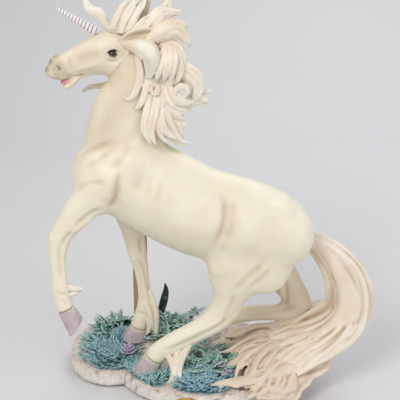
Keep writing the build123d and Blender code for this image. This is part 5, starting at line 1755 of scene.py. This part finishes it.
def ground_finishes():
    # Stone-textured casting: pinkish beige, dry and matt, darker in its pits, dark teal under the planting,
    # partly the greenish dusting of the ground there and partly painted shade
    material, shader = new_material(GROUND, 0.78)
    pits, shaded, wall = masks(material)
    colour = mixed(material, noise_mask(material, 18, 0.35, 0.7), "#DFD3CA", "#CBB7AB")
    colour = mixed(material, noise_mask(material, 2.0, 0.54, 0.66), colour, "#F3EFE9")
    colour = mixed(material, wall, colour, "#EBE8E1")
    colour = mixed(material, noise_mask(material, 1.5, 0.60, 0.70), colour, "#B8AAA1")
    colour = mixed(material, pits, colour, "#B09C8F")
    colour = mixed(material, shaded, colour, "#5A8584")
    set_look(material, shader, colour, noise_mask(material, 1.8, 0.2, 0.8, 6), 0.5, 0.6)

    # Painted grass: teal to blue, each blade dark at its foot as painted shade among the blades, and
    # dry-brushed pale at its tip
    material, shader = new_material(TEAL, 0.5, coat=0.06)
    blue, along, own = masks(material)
    colour = mixed(material, blue, "#97CCC0", "#84BEDD")
    tip = ramp_mask(material, along, 0.5, 1.0)
    colour = mixed(material, tip, colour, "#CBE3E4")
    darker = mixed(material, 0.35, colour, "#4A8C97")
    colour = mixed(material, own, colour, darker)
    foot = ramp_mask(material, along, 0.4, 0.0)
    colour = mixed(material, foot, colour, "#38717F")
    set_look(material, shader, colour, noise_mask(material, 1.2, 0.3, 0.7), 0.05, 0.3)

    # Painted leaves: dark green and grey green, with pale dry-brushed edges, and darkest at the middle of the
    # underside as painted shade
    material, shader = new_material(LEAF, 0.5, coat=0.06)
    pale, edge, own = masks(material)
    colour = mixed(material, pale, "#3F7D6C", "#8FB5A8")
    colour = mixed(material, own, colour, "#5B8F8C")
    rim = ramp_mask(material, edge, 0.5, 1.0)
    colour = mixed(material, rim, colour, "#C3D8CC")
    foot = ramp_mask(material, edge, 0.3, 0.0)
    colour = mixed(material, foot, colour, "#1D4A40")
    set_look(material, shader, colour, noise_mask(material, 1.2, 0.3, 0.7), 0.05, 0.3)

    # Blossoms: mauve pink petals, paler at the edge
    material, shader = new_material(PETAL, 0.5, coat=0.06)
    pale, edge, own = masks(material)
    colour = mixed(material, pale, "#B285AC", "#8F9FC0")
    colour = mixed(material, ramp_mask(material, edge, 0.4, 1.0), colour, "#D9C3DA")
    set_look(material, shader, colour, noise_mask(material, 1.2, 0.3, 0.7), 0.05, 0.3)

    # Tall leaf: deep bottle green with pale patches as painted highlight, and darker in its grooves as
    # painted shade
    material, shader = new_material(DARK_LEAF, 0.45, coat=0.1)
    darkening, _, _ = masks(material)
    colour = mixed(material, noise_mask(material, 8, 0.5, 0.7), "#24443A", "#7FA08E")
    set_look(material, shader, mixed(material, darkening, colour, "#142B26"))


def hardware_finishes():
    # Stamped brass, lacquered and a little dulled
    material, shader = new_material(BRASS, 0.34, metallic=1.0)
    colour = mixed(material, noise_mask(material, 5, 0.4, 0.75), "#C9A45A", "#8F6F36")
    set_look(material, shader, colour, noise_mask(material, 1.0, 0.2, 0.8, 5), 0.04, 0.3)

    # Beech dowel, stained tan brown, grain along its length
    material, shader = new_material(POST, 0.55)
    place = add_node(material, "ShaderNodeTexCoord").outputs["Object"]
    drawn_out = add_node(material, "ShaderNodeMapping", (("Vector", place),), Scale=(1, 1, 0.08))
    fibres = add_node(material, "ShaderNodeTexNoise", (("Vector", drawn_out.outputs[0]),),
                      Scale=1 / (2.4 * MM), Detail=5.0)
    colour = mixed(material, ramp_mask(material, fibres.outputs[0], 0.35, 0.7), "#BE9A74", "#94704F")
    set_look(material, shader, colour, fibres.outputs[0], 0.15, 0.4)

    # Pressed wool felt, short fibres, no gloss
    material, shader = new_material(FELT, 0.95, sheen=0.4)
    colour = mixed(material, noise_mask(material, 2.0, 0.35, 0.7, 6), "#2F4A3A", "#3F5E4B")
    set_look(material, shader, colour, noise_mask(material, 0.8, 0.2, 0.8, 6), 0.3, 0.6)

    # Zinc plated wood screw
    material, shader = new_material(ZINC, 0.38, metallic=1.0)
    set_look(material, shader, mixed(material, noise_mask(material, 3, 0.4, 0.7), "#B9BCC0", "#A3A7AC"))

    # Drawn steel pins
    material, shader = new_material(STEEL, 0.3, metallic=1.0)
    set_look(material, shader, mixed(material, noise_mask(material, 3, 0.4, 0.7), "#A8ABAF", "#8F9398"))


def finish_piece(piece, slot, finish, *nodes):
    """Rides on the figure, stands for its CAD nodes and gets its finish."""
    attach(piece, "root")
    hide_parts(*nodes)
    piece.data.materials.clear()
    piece.data.materials.append(MATERIALS[finish])


KEPT_NODES = (
    (POST, ("support_post",)),
    (FELT, ("felt_pad",)),
    (ZINC, ("post_screw",)),
    (STEEL, ("horn_pin", "neck_dowel", "head_dowel", "near_hind_dowel", "far_hind_dowel", "far_fore_dowel",
             "near_fore_dowel", "tail_dowel", "foot_pins")),
)


def kept_nodes():
    for finish, nodes in KEPT_NODES:
        for node in nodes:
            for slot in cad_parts[node].material_slots:
                slot.material = MATERIALS[finish]


# Stage

# Lamps: name, place, point they face, side and power in metres and watts, colour
LAMPS = (
    ("key", (-0.75, -1.15, 1.35), (0, 0, 0.2), 0.7, 13.5, "#FFFAF0"),
    ("fill", (1.3, -0.9, 0.8), (0, 0, 0.2), 1.2, 8, "#F6F7FF"),
    ("rim", (0.5, 1.1, 1.2), (0, 0, 0.25), 0.8, 7, "#FFFFFF"),
)
ROOM_COLOUR = "#F2F3F6"
ROOM_LIGHT = 0.56
# Paper, in metres: its reach, where it starts to turn up, the turn's radius and steps, and its top
PAPER_REACH = 12.0
SWEEP_START = 0.9
SWEEP_RADIUS = 0.6
SWEEP_STEPS = 16
PAPER_TOP = 2.4


def area_lamp(name, place, aim, size, power, colour):
    lamp = bpy.data.lights.new(name, "AREA")
    lamp.shape = "SQUARE"
    lamp.size = size
    lamp.energy = power
    lamp.color = linear(colour)[:3]
    holder = linked(name, lamp)
    holder.location = place
    holder.rotation_euler = (Vector(aim) - Vector(place)).to_track_quat("-Z", "Y").to_euler()


def paper():
    # Seamless pale paper: matt, shows as a soft off-white ground
    material, shader = new_material("studio_paper", 0.9)
    set_look(material, shader, mixed(material, noise_mask(material, 900, 0.3, 0.7), "#DCDCDD", "#D6D7D9"))
    curve = [(SWEEP_START + SWEEP_RADIUS * math.sin(turn), SWEEP_RADIUS - SWEEP_RADIUS * math.cos(turn))
             for turn in np.linspace(0, math.pi / 2, SWEEP_STEPS)]
    line = [(-PAPER_REACH, 0.0)] + curve + [(SWEEP_START + SWEEP_RADIUS, PAPER_TOP)]
    places = [(x, y, z) for y, z in line for x in (-PAPER_REACH, PAPER_REACH)]
    faces = [(2 * row, 2 * row + 1, 2 * row + 3, 2 * row + 2) for row in range(len(line) - 1)]
    sheet = mesh_object("studio_paper", places, faces)
    sheet.data.materials.append(material)


def room():
    """Even light from all round."""
    world = bpy.data.worlds.new("studio")
    world.use_nodes = True
    background = world.node_tree.nodes["Background"]
    background.inputs["Color"].default_value = linear(ROOM_COLOUR)
    background.inputs["Strength"].default_value = ROOM_LIGHT
    bpy.context.scene.world = world
    bpy.context.scene.view_settings.view_transform = "Standard"


def camera():
    """The photograph's view."""
    lens = bpy.data.cameras.new("camera")
    lens.sensor_width = SENSOR_WIDTH
    lens.lens = FOCAL_PIXELS / PHOTO_PIXELS * SENSOR_WIDTH
    holder = linked("camera", lens)
    holder.location = CAMERA_PLACE
    holder.rotation_euler = (math.pi / 2 - CAMERA_TILT, 0, 0)
    bpy.context.scene.camera = holder


# The figure

cast_resin_finishes()
ground_finishes()
hardware_finishes()
for node, piece in body_casting().items():
    finish_piece(piece, "body_resin", BODY, node)
mane_pieces()
tail_pieces()
feather_pieces()
horn_piece()
ear_pieces()
eye_piece()
tongue_piece()
hoof_pieces()
ground_piece()
planting_pieces()
flower_piece()
bud_piece()
tall_leaf_piece()
plate_piece()
kept_nodes()
paper()
for lamp_row in LAMPS:
    area_lamp(*lamp_row)
room()
camera()
